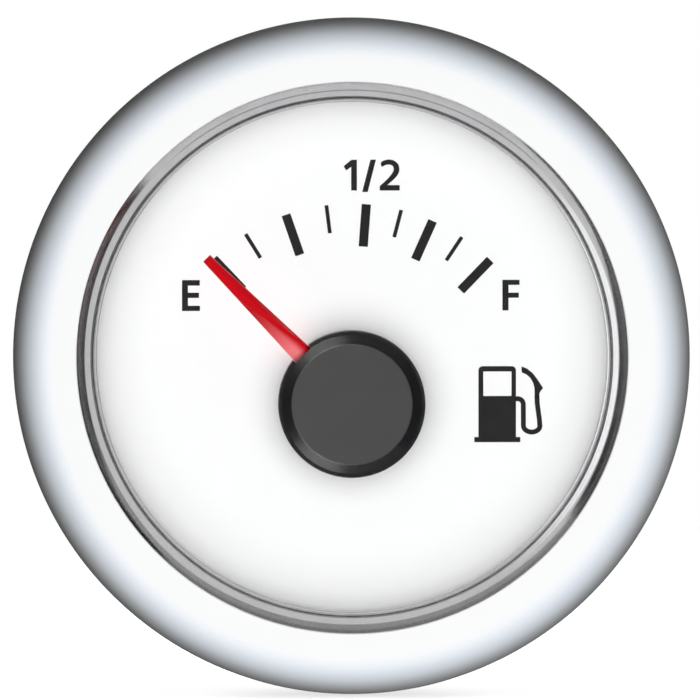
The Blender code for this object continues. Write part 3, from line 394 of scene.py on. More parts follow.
def clearGuide():
    made = newFinish("clear guide")
    place = made.place()
    cloud = made.grain(place, 0.004, 3.0)
    base = made.mixed(cloud, rgb(0.84, 0.90, 0.92), rgb(0.90, 0.94, 0.95))
    return made.painted(
        Base_Color=base, Roughness=0.10 + cloud * 0.08, IOR=1.49, Transmission_Weight=0.7
    )


finishes = {
    "bezelPaintAndShade": bezelPaintAndShade(),
    "trimMetal": trimMetal(),
    "lensGlass": lensGlass(),
    "dialWhite": dialWhite(),
    "printInk": printInk(),
    "pointerRedWithHighlight": pointerRedWithHighlight(),
    "capBlack": capBlack(),
    "copper": copperWinding(),
    "boardGreen": boardGreen(),
    "lampFace": lampFace(),
    "clearGuide": clearGuide(),
}
plastics = {  # name, dark and pale colour, grain in millimetres, roughness and shine
    "housingBlack": ("housing black", (0.012, 0.012, 0.013), (0.030, 0.030, 0.031), 0.22, 0.50),
    "clampBlack": ("clamp black", (0.016, 0.016, 0.017), (0.036, 0.036, 0.037), 0.28, 0.46),
    "rubber": ("seal rubber", (0.012, 0.012, 0.012), (0.026, 0.026, 0.026), 0.15, 0.78, 0.2),
    "whiteFrame": ("white frame", (0.76, 0.76, 0.74), (0.84, 0.84, 0.82), 0.3, 0.50),
    "gearWhite": ("gear acetal", (0.80, 0.79, 0.75), (0.87, 0.86, 0.82), 0.2, 0.36),
    "bobbinAmber": ("bobbin nylon", (0.50, 0.42, 0.28), (0.62, 0.54, 0.38), 0.2, 0.48),
    "chipBlack": ("chip epoxy", (0.014, 0.014, 0.015), (0.030, 0.030, 0.030), 0.12, 0.55),
    "magnetDark": ("magnet ferrite", (0.040, 0.040, 0.043), (0.085, 0.085, 0.088), 0.10, 0.58),
}
metals = {
    "steel": ("stamped steel", (0.48, 0.48, 0.49), (0.62, 0.62, 0.62), 0.1, 0.34),
    "tin": ("tinned brass", (0.66, 0.65, 0.60), (0.82, 0.81, 0.77), 0.2, 0.28),
    "canMetal": ("capacitor can", (0.62, 0.63, 0.65), (0.76, 0.77, 0.79), 0.15, 0.30),
}
for finishName, look in plastics.items():
    finishes[finishName] = mouldedPlastic(*look)
for finishName, look in metals.items():
    finishes[finishName] = metalFinish(*look)
print("materials made:", len(finishes))


def placed(name, data):
    made = bpy.data.objects.new(name, data)
    bpy.context.scene.collection.objects.link(made)
    return made


def creased(piece, degrees):
    piece.data.shade_smooth()
    piece.data.set_sharp_from_angle(angle=math.radians(degrees))


def newPiece(name, bm, finish, crease=30.0):
    bmesh.ops.remove_doubles(bm, verts=bm.verts[:], dist=1e-7)
    bmesh.ops.recalc_face_normals(bm, faces=bm.faces[:])
    mesh = bpy.data.meshes.new(name)
    bm.to_mesh(mesh)
    bm.free()
    mesh.materials.append(finish)
    piece = placed(name, mesh)
    creased(piece, crease)
    return piece


def rides(piece, body, slot, *replaced):
    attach(piece, body)
    if replaced:
        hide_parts(*replaced)


# Rounds a closed outline. A point may add its own size, then its own limit in degrees for a straight corner
def filleted(points, size, steps=3):
    made = []
    for i, point in enumerate(points):
        here = Vector(point[:2])
        before = Vector(points[i - 1][:2]) - here
        after = Vector(points[(i + 1) % len(points)][:2]) - here
        wanted = point[2] if len(point) > 2 else size
        straight = point[3] if len(point) > 3 else 12.0
        cut = min(wanted, before.length * 0.45, after.length * 0.45)
        if cut <= 0 or math.pi - before.angle(after) < math.radians(straight):
            made.append(tuple(here))
            continue
        start = here + before.normalized() * cut
        end = here + after.normalized() * cut
        for step in range(steps + 1):
            t = step / steps
            made.append(tuple(start * (1 - t) ** 2 + here * 2 * t * (1 - t) + end * t**2))
    return made


# Spins (radius, y) points round the Y axis
def lathed(name, outline, finish, segments=192, centre=(0.0, 0.0), crease=30.0):
    bm = bmesh.new()
    turn = 2 * math.pi / segments
    around = [(math.cos(turn * i), math.sin(turn * i)) for i in range(segments)]
    rings = []
    for r, y in outline:
        ways = around if r > 1e-9 else [(0.0, 0.0)]
        rings.append([bm.verts.new((centre[0] + r * u, y, centre[1] + r * v)) for u, v in ways])
    for near, far in zip(rings, rings[1:] + rings[:1]):
        if len(near) == 1 and len(far) == 1:
            continue
        for i in range(segments):
            j = (i + 1) % segments
            corners = [near[i % len(near)], near[j % len(near)], far[j % len(far)], far[i % len(far)]]
            bm.faces.new(list(dict.fromkeys(corners)))
    return newPiece(name, bm, finish, crease)


def addPlate(bm, outline, front, rear, holes=()):  # a flat plate between two stations on Y
    loops = [outline, *holes]
    points = [point for loop in loops for point in loop]
    triangles = tessellate_polygon([[Vector((x, z, 0.0)) for x, z in loop] for loop in loops])
    near = [bm.verts.new((x, front, z)) for x, z in points]
    far = [bm.verts.new((x, rear, z)) for x, z in points]
    for triangle in triangles:
        bm.faces.new([near[i] for i in triangle])
        bm.faces.new([far[i] for i in triangle])
    first = 0
    for loop in loops:
        for i in range(len(loop)):
            j = (i + 1) % len(loop)
            bm.faces.new((near[first + i], near[first + j], far[first + j], far[first + i]))
        first += len(loop)


# Angles in degrees, anticlockwise from +X. A higher power makes the arc squarer
def arcPoints(centre, radii, start, end, steps, power=2.0):
    made = []
    for i in range(steps + 1):
        angle = math.radians(start + (end - start) * i / steps)
        across = math.copysign(abs(math.cos(angle)) ** (2 / power), math.cos(angle))
        up = math.copysign(abs(math.sin(angle)) ** (2 / power), math.sin(angle))
        made.append((centre[0] + radii[0] * across, centre[1] + radii[1] * up))
    return made


def strokeOutline(line, width):  # a ribbon of one width along a path of (x, z) points
    left, right = [], []
    for i, point in enumerate(line):
        before = Vector(line[max(i - 1, 0)])
        after = Vector(line[min(i + 1, len(line) - 1)])
        along = (after - before).normalized()
        side = Vector((-along.y, along.x)) * width / 2
        left.append(tuple(Vector(point) + side))
        right.append(tuple(Vector(point) - side))
    return left + right[::-1]


def applied(piece):  # turns a piece's modifiers into plain mesh
    bpy.context.view_layer.update()
    graph = bpy.context.evaluated_depsgraph_get()
    mesh = bpy.data.meshes.new_from_object(piece.evaluated_get(graph), depsgraph=graph)
    old = piece.data
    piece.modifiers.clear()
    piece.data = mesh
    bpy.data.meshes.remove(old)


def joined(piece, tool, operation):  # adds or cuts another mesh by an exact boolean
    step = piece.modifiers.new(operation.lower(), "BOOLEAN")
    step.operation = operation
    step.solver = "EXACT"
    step.object = tool
    applied(piece)
    bpy.data.objects.remove(tool)
    if not piece.data.polygons:
        raise ValueError(f"nothing is left of {piece.name}")


class Growth:  # builds a Geometry Nodes tree and its named inputs
    def __init__(self, name):
        self.tree = bpy.data.node_groups.new(name, "GeometryNodeTree")
        self.tree.interface.new_socket("Geometry", in_out="INPUT", socket_type="NodeSocketGeometry")
        self.tree.interface.new_socket("Geometry", in_out="OUTPUT", socket_type="NodeSocketGeometry")
        self.start = self.tree.nodes.new("NodeGroupInput")
        self.end = self.tree.nodes.new("NodeGroupOutput")
        self.ids = {}

    def size(self, name, kind="Float"):
        made = self.tree.interface.new_socket(name, in_out="INPUT", socket_type=f"NodeSocket{kind}")
        self.ids[name] = made.identifier
        return self.start.outputs[name]

    def add(self, kind, settings=None, inputs=None):
        return addNode(self.tree, kind, settings, inputs)

    def math(self, operation, first, second):
        return self.add("ShaderNodeMath", {"operation": operation}, {0: first, 1: second}).outputs[0]

    def finish(self, geometry, material):
        real = self.add("GeometryNodeRealizeInstances", None, {0: geometry})
        values = {"Geometry": real, "Material": material}
        named = self.add("GeometryNodeSetMaterial", None, values)
        self.tree.links.new(named.outputs[0], self.end.inputs[0])

    def grown(self, piece, values):  # runs the tree on a piece and keeps the plain mesh
        step = piece.modifiers.new(self.tree.name, "NODES")
        step.node_group = self.tree
        for name, value in values.items():
            step[self.ids[name]] = value
        applied(piece)


bezel = {
    "plateau": 26.0 * mm,  # where the flat front starts to roll over
    "rollPower": 2.2,
    "opening": 23.97 * mm,
    "lip": 0.9 * mm,
    "skirt": 1.2 * mm,
    "skirtEnd": -0.9 * mm,
    "lensPocket": 26.8 * mm,
    "pocketEnd": -4.85 * mm,
    "flangeRoom": -4.7 * mm,
    "snapBore": 27.3 * mm,  # the bead that holds the housing's flange
    "snapFront": -2.6 * mm,
    "snapRear": -1.8 * mm,
    "innerEdge": 0.14 * mm,
}


def makeBezel():
    b = bezel
    roll = arcPoints(
        (b["plateau"], b["skirtEnd"]), (gaugeRadius - b["plateau"], b["skirtEnd"] - bezelFront),
        0, -90, 48, b["rollPower"],
    )
    edge = b["innerEdge"]
    corner = arcPoints((b["opening"] + edge, bezelFront + edge), (edge, edge), -90, -180, 8)
    lipBack = bezelFront + b["lip"]
    inside = gaugeRadius - b["skirt"]
    outline = [
        *roll, *corner,
        (b["opening"], lipBack), (b["lensPocket"], lipBack), (b["lensPocket"], b["pocketEnd"]),
        (inside, b["flangeRoom"]), (inside, b["snapFront"]), (b["snapBore"], b["snapFront"]),
        (b["snapBore"], b["snapRear"]), (inside, b["snapRear"]), (inside, b["skirtEnd"]),
    ]
    piece = lathed("bezel", outline, finishes["bezelPaintAndShade"], 256)
    rides(piece, "root", "white_paint", "bezel_ring")


makeBezel()
print("bezel made")

trim = {
    "outer": 24.6 * mm,
    "coneTop": 24.07 * mm,
    "coneMiddle": 23.66 * mm,
    "middleDrop": 0.31 * mm,
    "coneFoot": 23.19 * mm,
    "coneDrop": 0.55 * mm,
    "ledgeDrop": 0.085 * mm,
    "ledgeInner": 22.66 * mm,
    "ledgeRound": 0.14 * mm,
    "slotInner": 22.43 * mm,
    "slotDepth": 0.47 * mm,
    "slotRound": 0.03 * mm,
    "bore": 22.2 * mm,
    "landDrop": 0.85 * mm,
    "tube": 22.9 * mm,
    "seat": -3.5 * mm,
    "overlap": 0.3 * mm,  # past the lens's back and the dial's front
}


def makeTrimRing():
    t = trim
    top = lensBack + t["overlap"]
    ledge = top + t["coneDrop"]
    step = ledge + t["ledgeDrop"]
    slot = step + t["slotDepth"]
    land = top + t["landDrop"]
    tubeEnd = dialFront - t["overlap"]
    outline = filleted(
        [
            (t["outer"], top, 0.0), (t["coneTop"], top, 0.0),
            (t["coneMiddle"], top + t["middleDrop"], 0.20 * mm, 6.0),
            (t["coneFoot"], ledge, 0.22 * mm), (t["ledgeInner"], step, t["ledgeRound"]),
            (t["ledgeInner"], slot, t["slotRound"]), (t["slotInner"], slot, t["slotRound"]),
            (t["slotInner"], land, t["slotRound"]), (t["bore"], land + 0.04 * mm, 0.08 * mm),
            (t["bore"], tubeEnd, 0.0), (t["tube"], tubeEnd, 0.0),
            (t["tube"], t["seat"], 0.0), (t["outer"], t["seat"], 0.0),
        ],
        0.05 * mm, 6,
    )
    piece = lathed("trimRing", outline, finishes["trimMetal"], 256, crease=12.0)
    rides(piece, "root", "grey_trim", "trim_ring")


def makeLens():
    radius, edge = 26.5 * mm, 0.2 * mm
    outline = [
        (0.0, lensBack), (radius - edge, lensBack), (radius, lensBack - edge),
        (radius, lensFront + edge), (radius - edge, lensFront), (0.0, lensFront),
    ]
    piece = lathed("lensPane", outline, finishes["lensGlass"], 192, crease=20.0)
    piece.visible_diffuse = False
    rides(piece, "root", "glass", "lens")


makeTrimRing()
makeLens()
print("trim ring and lens made")

scale = {
    "outer": 17.4 * mm,  # distance from the pointer's axis to the ticks' outer ends
    "majorLength": 3.7 * mm,
    "minorLength": 2.45 * mm,
    "majorWidth": 0.80 * mm,
    "minorWidth": 0.33 * mm,
    "inkHeight": 0.03 * mm,
    "inkSink": 0.02 * mm,
    "tickDepth": 0.048 * mm,
    "majors": (-43.65, -19.15, 4.3, 24.0, 44.1),  # degrees clockwise from upright
    "minors": (-32.0, -7.2, 14.45, 33.6),
}

# Outlines on the dial in millimetres, as (right, up) from the gauge's axis
letterE = [
    (-14.77, 6.60), (-13.22, 6.60), (-13.22, 6.12), (-14.25, 6.12), (-14.25, 5.50), (-13.29, 5.50),
    (-13.29, 5.05), (-14.25, 5.05), (-14.25, 4.36), (-13.20, 4.36), (-13.20, 3.91), (-14.77, 3.91),
]
letterF = [
    (13.17, 6.62), (14.66, 6.62), (14.66, 6.18), (13.70, 6.18), (13.70, 5.50), (14.60, 5.50),
    (14.60, 5.06), (13.70, 5.06), (13.70, 3.95), (13.17, 3.95),
]
figureOne = [
    (0.0, 17.09), (0.48, 17.09), (0.48, 14.41), (-0.02, 14.41), (-0.02, 16.48), (-0.45, 16.16),
    (-0.68, 16.53),
]
slash = [(1.66, 17.10), (2.14, 17.10), (1.42, 14.28), (0.94, 14.28)]
figureTwo = [
    (2.55, 16.80), (2.70, 16.97), (3.01, 17.08), (3.31, 17.12), (3.62, 17.06), (3.92, 16.89), (4.12, 16.65),
    (4.19, 16.34), (4.17, 16.04), (4.01, 15.73), (3.75, 15.43), (3.36, 15.08), (3.12, 14.88), (4.21, 14.88),
    (4.21, 14.41), (2.47, 14.41), (2.47, 14.80), (2.79, 15.08), (3.18, 15.45), (3.51, 15.84), (3.67, 16.12),
    (3.69, 16.36), (3.62, 16.54), (3.43, 16.65), (3.22, 16.68), (2.96, 16.63), (2.77, 16.52), (2.62, 16.48),
]
pump = {
    "left": 11.08, "right": 14.35, "top": -0.91, "bottom": -7.10, "corner": 0.42,
    "baseLeft": 10.72, "baseRight": 14.73, "baseBottom": -7.54,
    "window": (11.50, 13.96, -1.37, -3.51),
    "hose": 0.43,
    "hoseStart": [(14.30, -3.75), (14.50, -3.75)],
    "upperBend": ((14.50, -4.24), (0.49, 0.49), 80, 0, 7),
    "hoseFoot": (15.00, -6.06),
    "lowerBend": ((15.725, -6.10), (0.725, 0.56), 190, 350, 14),
    "hoseEnd": [(16.40, -5.6), (16.21, -4.2), (16.18, -3.45)],
}
nozzle = [
    (14.83, -0.93), (15.31, -1.12), (15.80, -1.51), (16.18, -2.00), (16.48, -2.45), (16.72, -2.82),
    (16.52, -3.06), (16.40, -3.28), (16.37, -3.60), (15.99, -3.60), (15.97, -2.82), (15.85, -2.38),
    (15.61, -1.95), (15.27, -1.64), (14.85, -1.46),
]


def inMetres(points):
    return [(x * mm, z * mm) for x, z in points]


def inkPiece(name, plates):  # raised print, sunk a little into the dial
    front = dialFront - scale["inkHeight"]
    rear = dialFront + scale["inkSink"]
    bm = bmesh.new()
    for outline, holes in plates:
        addPlate(bm, inMetres(outline), front, rear, [inMetres(hole) for hole in holes])
    rides(newPiece(name, bm, finishes["printInk"]), "root", "black_plastic")


def makeTicks():  # one bar for each point, turned and sized by the point's own values
    growth = Growth("scaleTicks")
    height = growth.size("Ink Height")
    points = growth.add("GeometryNodeMeshToPoints", None, {0: growth.start.outputs[0]})
    turn = growth.add("GeometryNodeInputNamedAttribute", {"data_type": "FLOAT_VECTOR"}, {0: "turn"})
    size = growth.add("GeometryNodeInputNamedAttribute", {"data_type": "FLOAT_VECTOR"}, {0: "size"})
    thick = growth.add("ShaderNodeCombineXYZ", None, {0: 1.0, 1: height, 2: 1.0})
    bar = growth.add("GeometryNodeMeshCube", None, {"Size": (1.0, 1.0, 1.0)})
    bars = growth.add("GeometryNodeInstanceOnPoints", None, {
        "Points": points, "Instance": bar.outputs["Mesh"], "Rotation": turn,
    })
    sized = growth.add("ShaderNodeVectorMath", {"operation": "MULTIPLY"}, {
        0: size, 1: thick,
    })
    scaled = growth.add("GeometryNodeScaleInstances", None, {
        "Instances": bars, "Scale": sized,
    })
    growth.finish(scaled.outputs[0], finishes["printInk"])

    ticks = [(turn, scale["majorLength"], scale["majorWidth"]) for turn in scale["majors"]]
    ticks += [(turn, scale["minorLength"], scale["minorWidth"]) for turn in scale["minors"]]
    mesh = bpy.data.meshes.new("dialTicks")
    level = dialFront - scale["inkHeight"] / 2
    places = []
    for degrees, length, _ in ticks:
        middle = scale["outer"] - length / 2
        turn = math.radians(degrees)
        places.append((hubX + middle * math.sin(turn), level, hubZ + middle * math.cos(turn)))
    mesh.from_pydata(places, [], [])
    turns = mesh.attributes.new("turn", "FLOAT_VECTOR", "POINT")
    sizes = mesh.attributes.new("size", "FLOAT_VECTOR", "POINT")
    for i, (degrees, length, width) in enumerate(ticks):
        turns.data[i].vector = (0.0, math.radians(degrees), 0.0)
        sizes.data[i].vector = (width, 1.0, length)
    piece = placed("dialTicks", mesh)
    growth.grown(piece, {"Ink Height": scale["tickDepth"]})
    rides(piece, "root", "black_plastic")


def makePump():
    p = pump
    body = filleted(
        [
            (p["left"], p["bottom"], 0.0), (p["right"], p["bottom"], 0.0),
            (p["right"], p["top"]), (p["left"], p["top"]),
        ],
        p["corner"], 5,
    )
    left, right, top, bottom = p["window"]
    window = filleted([(left, top), (right, top), (right, bottom), (left, bottom)], 0.06)
    baseTop = p["bottom"] + 0.01
    base = [
        (p["baseLeft"], p["baseBottom"]), (p["baseRight"], p["baseBottom"]),
        (p["baseRight"], baseTop), (p["baseLeft"], baseTop),
    ]
    upper, lower = arcPoints(*p["upperBend"]), arcPoints(*p["lowerBend"])
    path = [*p["hoseStart"], *upper, p["hoseFoot"], *lower, *p["hoseEnd"]]
    hose = strokeOutline(path, p["hose"])
    inkPiece("fuelSymbol", [(body, [window]), (base, []), (hose, []), (nozzle, [])])


makeTicks()
inkPiece("letterE", [(letterE, [])])
inkPiece("letterF", [(letterF, [])])
inkPiece("halfMark", [(figureOne, []), (slash, []), (figureTwo, [])])
makePump()
print("dial print made")

pointer = {
    "length": 17.9 * mm,
    "rootWidth": 1.76 * mm,  # at the cap's rim
    "tipWidth": 0.86 * mm,
    "under": 1.5 * mm,  # the blade's underside above the dial
    "ridge": 0.9 * mm,
    "edge": 0.3 * mm,
    "facetStart": 12.6 * mm,
    "facetRun": 1.4 * mm,
    "leftSlope": 0.55,  # of the ridge's height, where there is no facet
    "crestLimits": (-0.9, 0.66),  # of the half width
    "shoulder": 0.82,
    "shoulderRise": 0.22 * mm,
    "facetRise": 0.10 * mm,
    "footChamfer": 0.06 * mm,
    "tipChamfer": 0.07 * mm,
}
# Distances from the hub in millimetres
bladeStations = (
    1.7, 3.0, 4.5, 5.6, 6.2, 7.2, 8.2, 9.2, 10.2, 11.2, 12.0, 12.6, 14.0, 15.5, 17.2, 17.78, 17.9,
)
hub = {
    "core": 2.4 * mm,
    "disc": 4.8 * mm,
    "discHalf": 0.35 * mm,
    "neck": 1.7 * mm,
    "bore": 0.85 * mm,
    "rear": -1.2 * mm,
    "topRise": 0.3 * mm,
    "boreRise": -0.15 * mm,
}
cap = {
    "radius": 6.41 * mm,
    "top": 5.20 * mm,
    "rear": 0.6 * mm,  # the rim above the dial
    "shoulder": 6.07 * mm,  # the chamfer turns steeper here
    "shoulderDrop": 0.55 * mm,
    "wallDrop": 0.95 * mm,
    "height": 3.8 * mm,
    "thickness": 0.8 * mm,
    "edge": 0.05 * mm,
    "rimRound": 0.06 * mm,
    "boss": 1.6 * mm,
    "bossGap": 0.6 * mm,  # from the boss to the blade's ridge
    "notch": (6.0 * mm, 7.2 * mm),  # opens the wall for the blade
    "channel": (4.0 * mm, 6.2 * mm),
    "channelGap": 0.15 * mm,
    "slack": 0.05 * mm,
}


def makePointer():
    p = pointer
    under = dialFront - p["under"]
    crestFront = under - p["ridge"]
    side = under - p["edge"]
    foot = under - p["footChamfer"]
    taper = (p["rootWidth"] - p["tipWidth"]) / (p["length"] - cap["radius"])
    low, high = p["crestLimits"]
    bm = bmesh.new()
    rows = []
    for station in bladeStations:
        along = station * mm
        half = (p["tipWidth"] + taper * (p["length"] - along)) / 2
        nip = p["tipChamfer"] if station == bladeStations[-1] else 0.0
        share = min(1.0, max(0.0, (p["facetStart"] - along) / p["facetRun"]))
        crest = max(low * half, min(high * half, (ridgeCross - along) * ridgeSlope))
        front = crestFront + nip
        left = side - (p["ridge"] - p["edge"]) * p["leftSlope"] * (1.0 - share)
        section = [
            (-half + nip, under - nip), (half - nip, under - nip), (half, foot), (half, side),
            (half * p["shoulder"], side - p["shoulderRise"]), ((half + crest) / 2, front + p["facetRise"]),
            (crest, front), ((crest - half) / 2, (front + left) / 2), (-half, left), (-half, foot),
        ]
        rows.append([bm.verts.new((x, y, along)) for x, y in section])
    for near, far in zip(rows, rows[1:]):
        for i in range(len(near)):
            bm.faces.new((near[i - 1], near[i], far[i], far[i - 1]))
    bm.faces.new(rows[0])
    bm.faces.new(rows[-1])
    blade = newPiece("pointerBlade", bm, finishes["pointerRedWithHighlight"], 22.0)
    blade.data.transform(hubPlace)

    h = hub
    top = crestFront - h["topRise"]
    floor = crestFront - h["boreRise"]
    outline = [
        (0.0, top), (h["core"], top), (h["core"], under - h["discHalf"]), (h["disc"], under - h["discHalf"]),
        (h["disc"], under + h["discHalf"]), (h["core"], under + h["discHalf"]), (h["neck"], h["rear"]),
        (h["bore"], h["rear"]), (h["bore"], floor), (0.0, floor),
    ]
    joined(blade, lathed("pointerHub", outline, finishes["pointerRedWithHighlight"], 64, (hubX, hubZ)), "UNION")
    creased(blade, 22.0)
    rides(blade, "pointer", "signal_red", "pointer_blade")


def makeCap():
    c = cap
    ridge = dialFront - pointer["under"] - pointer["ridge"]
    bossRear = ridge - c["bossGap"]
    rear = dialFront - c["rear"]
    front = rear - c["height"]
    wall = front + c["wallDrop"]
    roof = front + c["thickness"]
    inside = c["radius"] - c["thickness"]
    outline = filleted(
        [
            (0.0, front, 0.0), (c["top"], front, c["edge"]),
            (c["shoulder"], front + c["shoulderDrop"], c["rimRound"]), (c["radius"], wall, 0.10 * mm),
            (c["radius"], rear, c["rimRound"]), (inside, rear, c["rimRound"]), (inside, wall),
            (c["top"] - c["thickness"], roof), (c["boss"], roof), (c["boss"], bossRear), (0.0, bossRear, 0.0),
        ],
        0.1 * mm, 5,
    )
    piece = lathed("pointerCap", outline, finishes["capBlack"], 160, (hubX, hubZ))
    half = pointer["rootWidth"] / 2 + c["slack"]
    for (near, far), top in ((c["notch"], front - mm), (c["channel"], ridge - c["channelGap"])):
        bm = bmesh.new()
        addPlate(bm, [(-half, near), (half, near), (half, far), (-half, far)], top, rear + 0.1 * mm)
        tool = newPiece("capSlot", bm, finishes["capBlack"])
        tool.data.transform(hubPlace)
        joined(piece, tool, "DIFFERENCE")
    creased(piece, 25.0)
    rides(piece, "pointer", "black_plastic", "pointer_cap")


makePointer()
makeCap()
print("pointer and cap made")

seal = {"inner": 25.3 * mm, "outer": 27.9 * mm, "thickness": 1.5 * mm, "lip": 0.3 * mm, "round": 0.15 * mm}


def makeSeal():
    inner, outer, front, lip = seal["inner"], seal["outer"], -seal["thickness"], seal["lip"]
    middle = (inner + outer) / 2
    corners = [
        (inner, front), (outer, front), (outer, -lip),
        (middle + 2 * lip, 0.0), (middle - 2 * lip, 0.0), (inner, -lip),
    ]
    outline = filleted(corners, seal["round"])
    piece = lathed("mountingSeal", outline, finishes["rubber"], 192)
    rides(piece, "root", "rubber", "mounting_seal")


makeSeal()
print("seal made")

housing = {
    "barrel": 25.0 * mm,
    "wall": 1.8 * mm,
    "length": 26.0 * mm,
    "flange": 28.0 * mm,
    "collar": 27.0 * mm,
    "threadPitch": 5.0 * mm,
    "threadHeight": 1.0 * mm,
    "threadSink": 0.3 * mm,
    "threadRoot": 2.2 * mm,
    "threadCrest": 0.9 * mm,
    "threadStart": 3.0 * mm,
    "threadEnd": 23.4 * mm,
    "shroudCentre": -16.15 * mm,
    "shroudInside": (17.6 * mm, 8.4 * mm),
    "shroudWall": 1.3 * mm,
    "shroudEnd": 37.0 * mm,
}


def makeThread():  # a ridge swept along a helix, thinner at both ends, with its narrow side out
    growth = Growth("barrelThread")
    names = ("Radius", "Pitch", "Turns", "Root", "Crest", "Height", "Start")
    radius, pitch, turns, root, crest, height, start = [growth.size(name) for name in names]
    rise = growth.math("MULTIPLY", pitch, turns)
    helix = growth.add("GeometryNodeCurveSpiral", None, {
        "Resolution": 96, "Rotations": turns, "Start Radius": radius, "End Radius": radius, "Height": rise,
    })
    along = growth.add("GeometryNodeSplineParameter").outputs["Factor"]
    low = growth.math("MULTIPLY", along, 26.0)
    high = growth.math("MULTIPLY", growth.math("SUBTRACT", 1.0, along), 26.0)
    ends = growth.math("MINIMUM", growth.math("MINIMUM", low, high), 1.0)
    tapered = growth.add("GeometryNodeSetCurveRadius", None, {
        "Curve": helix, "Radius": growth.math("MAXIMUM", ends, 0.05),
    })
    profile = growth.add("GeometryNodeCurvePrimitiveQuadrilateral", {"mode": "TRAPEZOID"}, {
        "Bottom Width": root, "Top Width": crest, "Height": height, "Offset": 0.0,
    })
    upright = growth.add("GeometryNodeSetCurveNormal", {"mode": "Z_UP"}, {"Curve": tapered})
    facing = growth.add("GeometryNodeTransform", None, {
        "Geometry": profile, "Rotation": (0.0, 0.0, math.pi / 2),
    })
    swept = growth.add("GeometryNodeCurveToMesh", None, {
        "Curve": upright, "Profile Curve": facing, "Fill Caps": True,
    })
    turned = growth.add("GeometryNodeTransform", None, {
        "Geometry": swept,
        "Translation": growth.add("ShaderNodeCombineXYZ", None, {1: start}).outputs[0],
        "Rotation": tuple(Matrix(((0, 1, 0), (0, 0, 1), (1, 0, 0))).to_euler()),
    })
    growth.finish(turned.outputs[0], finishes["housingBlack"])
    piece = placed("threadRidge", bpy.data.meshes.new("threadRidge"))
    growth.grown(piece, {
        "Radius": housing["barrel"] + (housing["threadHeight"] - housing["threadSink"]) / 2,
        "Pitch": housing["threadPitch"],
        "Turns": (housing["threadEnd"] - housing["threadStart"]) / housing["threadPitch"],
        "Root": housing["threadRoot"],
        "Crest": housing["threadCrest"],
        "Height": housing["threadHeight"] + housing["threadSink"],
        "Start": housing["threadStart"],
    })
    return piece


def makeHousing():
    h = housing
    bore = h["barrel"] - h["wall"]
    floor = h["length"] - h["wall"]
    outline = filleted(
        [
            (h["flange"], -4.4 * mm), (h["flange"], -2.9 * mm), (h["collar"], -2.9 * mm),
            (h["collar"], -1.8 * mm), (h["barrel"], -1.8 * mm), (h["barrel"], h["length"], 0.9 * mm),
            (0.0, h["length"], 0.0), (0.0, floor, 0.0),
            (bore - 0.8 * mm, floor), (bore - 0.8 * mm, 7.5 * mm), (bore, 7.5 * mm), (bore, -3.2 * mm),
            (24.9 * mm, -3.2 * mm), (24.9 * mm, -4.4 * mm),
        ],
        0.12 * mm,
    )
    piece = lathed("housingShell", outline, finishes["housingBlack"], 160)
    joined(piece, makeThread(), "UNION")
    centre = h["shroudCentre"]
    width, height = h["shroudInside"]

    def box(w, d, corner, middle=(0.0, centre)):
        signs = ((-1, -1), (1, -1), (1, 1), (-1, 1))
        corners = [(middle[0] + u * w / 2, middle[1] + v * d / 2) for u, v in signs]
        return filleted(corners, corner, 6) if corner else corners

    wall = h["shroudWall"]
    sunk = h["length"] - h["wall"] / 2
    bm = bmesh.new()
    outside = box(width + 2 * wall, height + 2 * wall, 3.2 * mm)
    addPlate(bm, outside, sunk, h["shroudEnd"], [box(width, height, 1.7 * mm)])
    joined(piece, newPiece("shroud", bm, finishes["housingBlack"]), "UNION")
    bm = bmesh.new()
    for side in (-1, 1):
        key = box(1.6 * mm, 2.0 * mm, 0.0, (side * width / 4, centre + height / 2))
        addPlate(bm, key, sunk, h["shroudEnd"] - wall)
    joined(piece, newPiece("keys", bm, finishes["housingBlack"]), "UNION")
    bm = bmesh.new()
    for row in range(2):
        for column in range(4):
            middle = ((column - 1.5) * 2.54 * mm, centre + (row - 0.5) * 2.54 * mm)
            addPlate(bm, box(1.07 * mm, 1.07 * mm, 0.0, middle), floor - 2 * mm, h["length"] + 2 * mm)
    joined(piece, newPiece("contactHoles", bm, finishes["housingBlack"]), "DIFFERENCE")
    creased(piece, 32.0)
    rides(piece, "root", "black_plastic", "housing")


makeHousing()
print("housing made")

clamp = {
    "front": 5.0 * mm,
    "length": 12.0 * mm,
    "bore": 26.3 * mm,
    "skirt": 28.0 * mm,
    "flange": 29.3 * mm,
    "flangeDepth": 2.8 * mm,
    "ribs": 12,
    "ribWidth": 2.2 * mm,
}


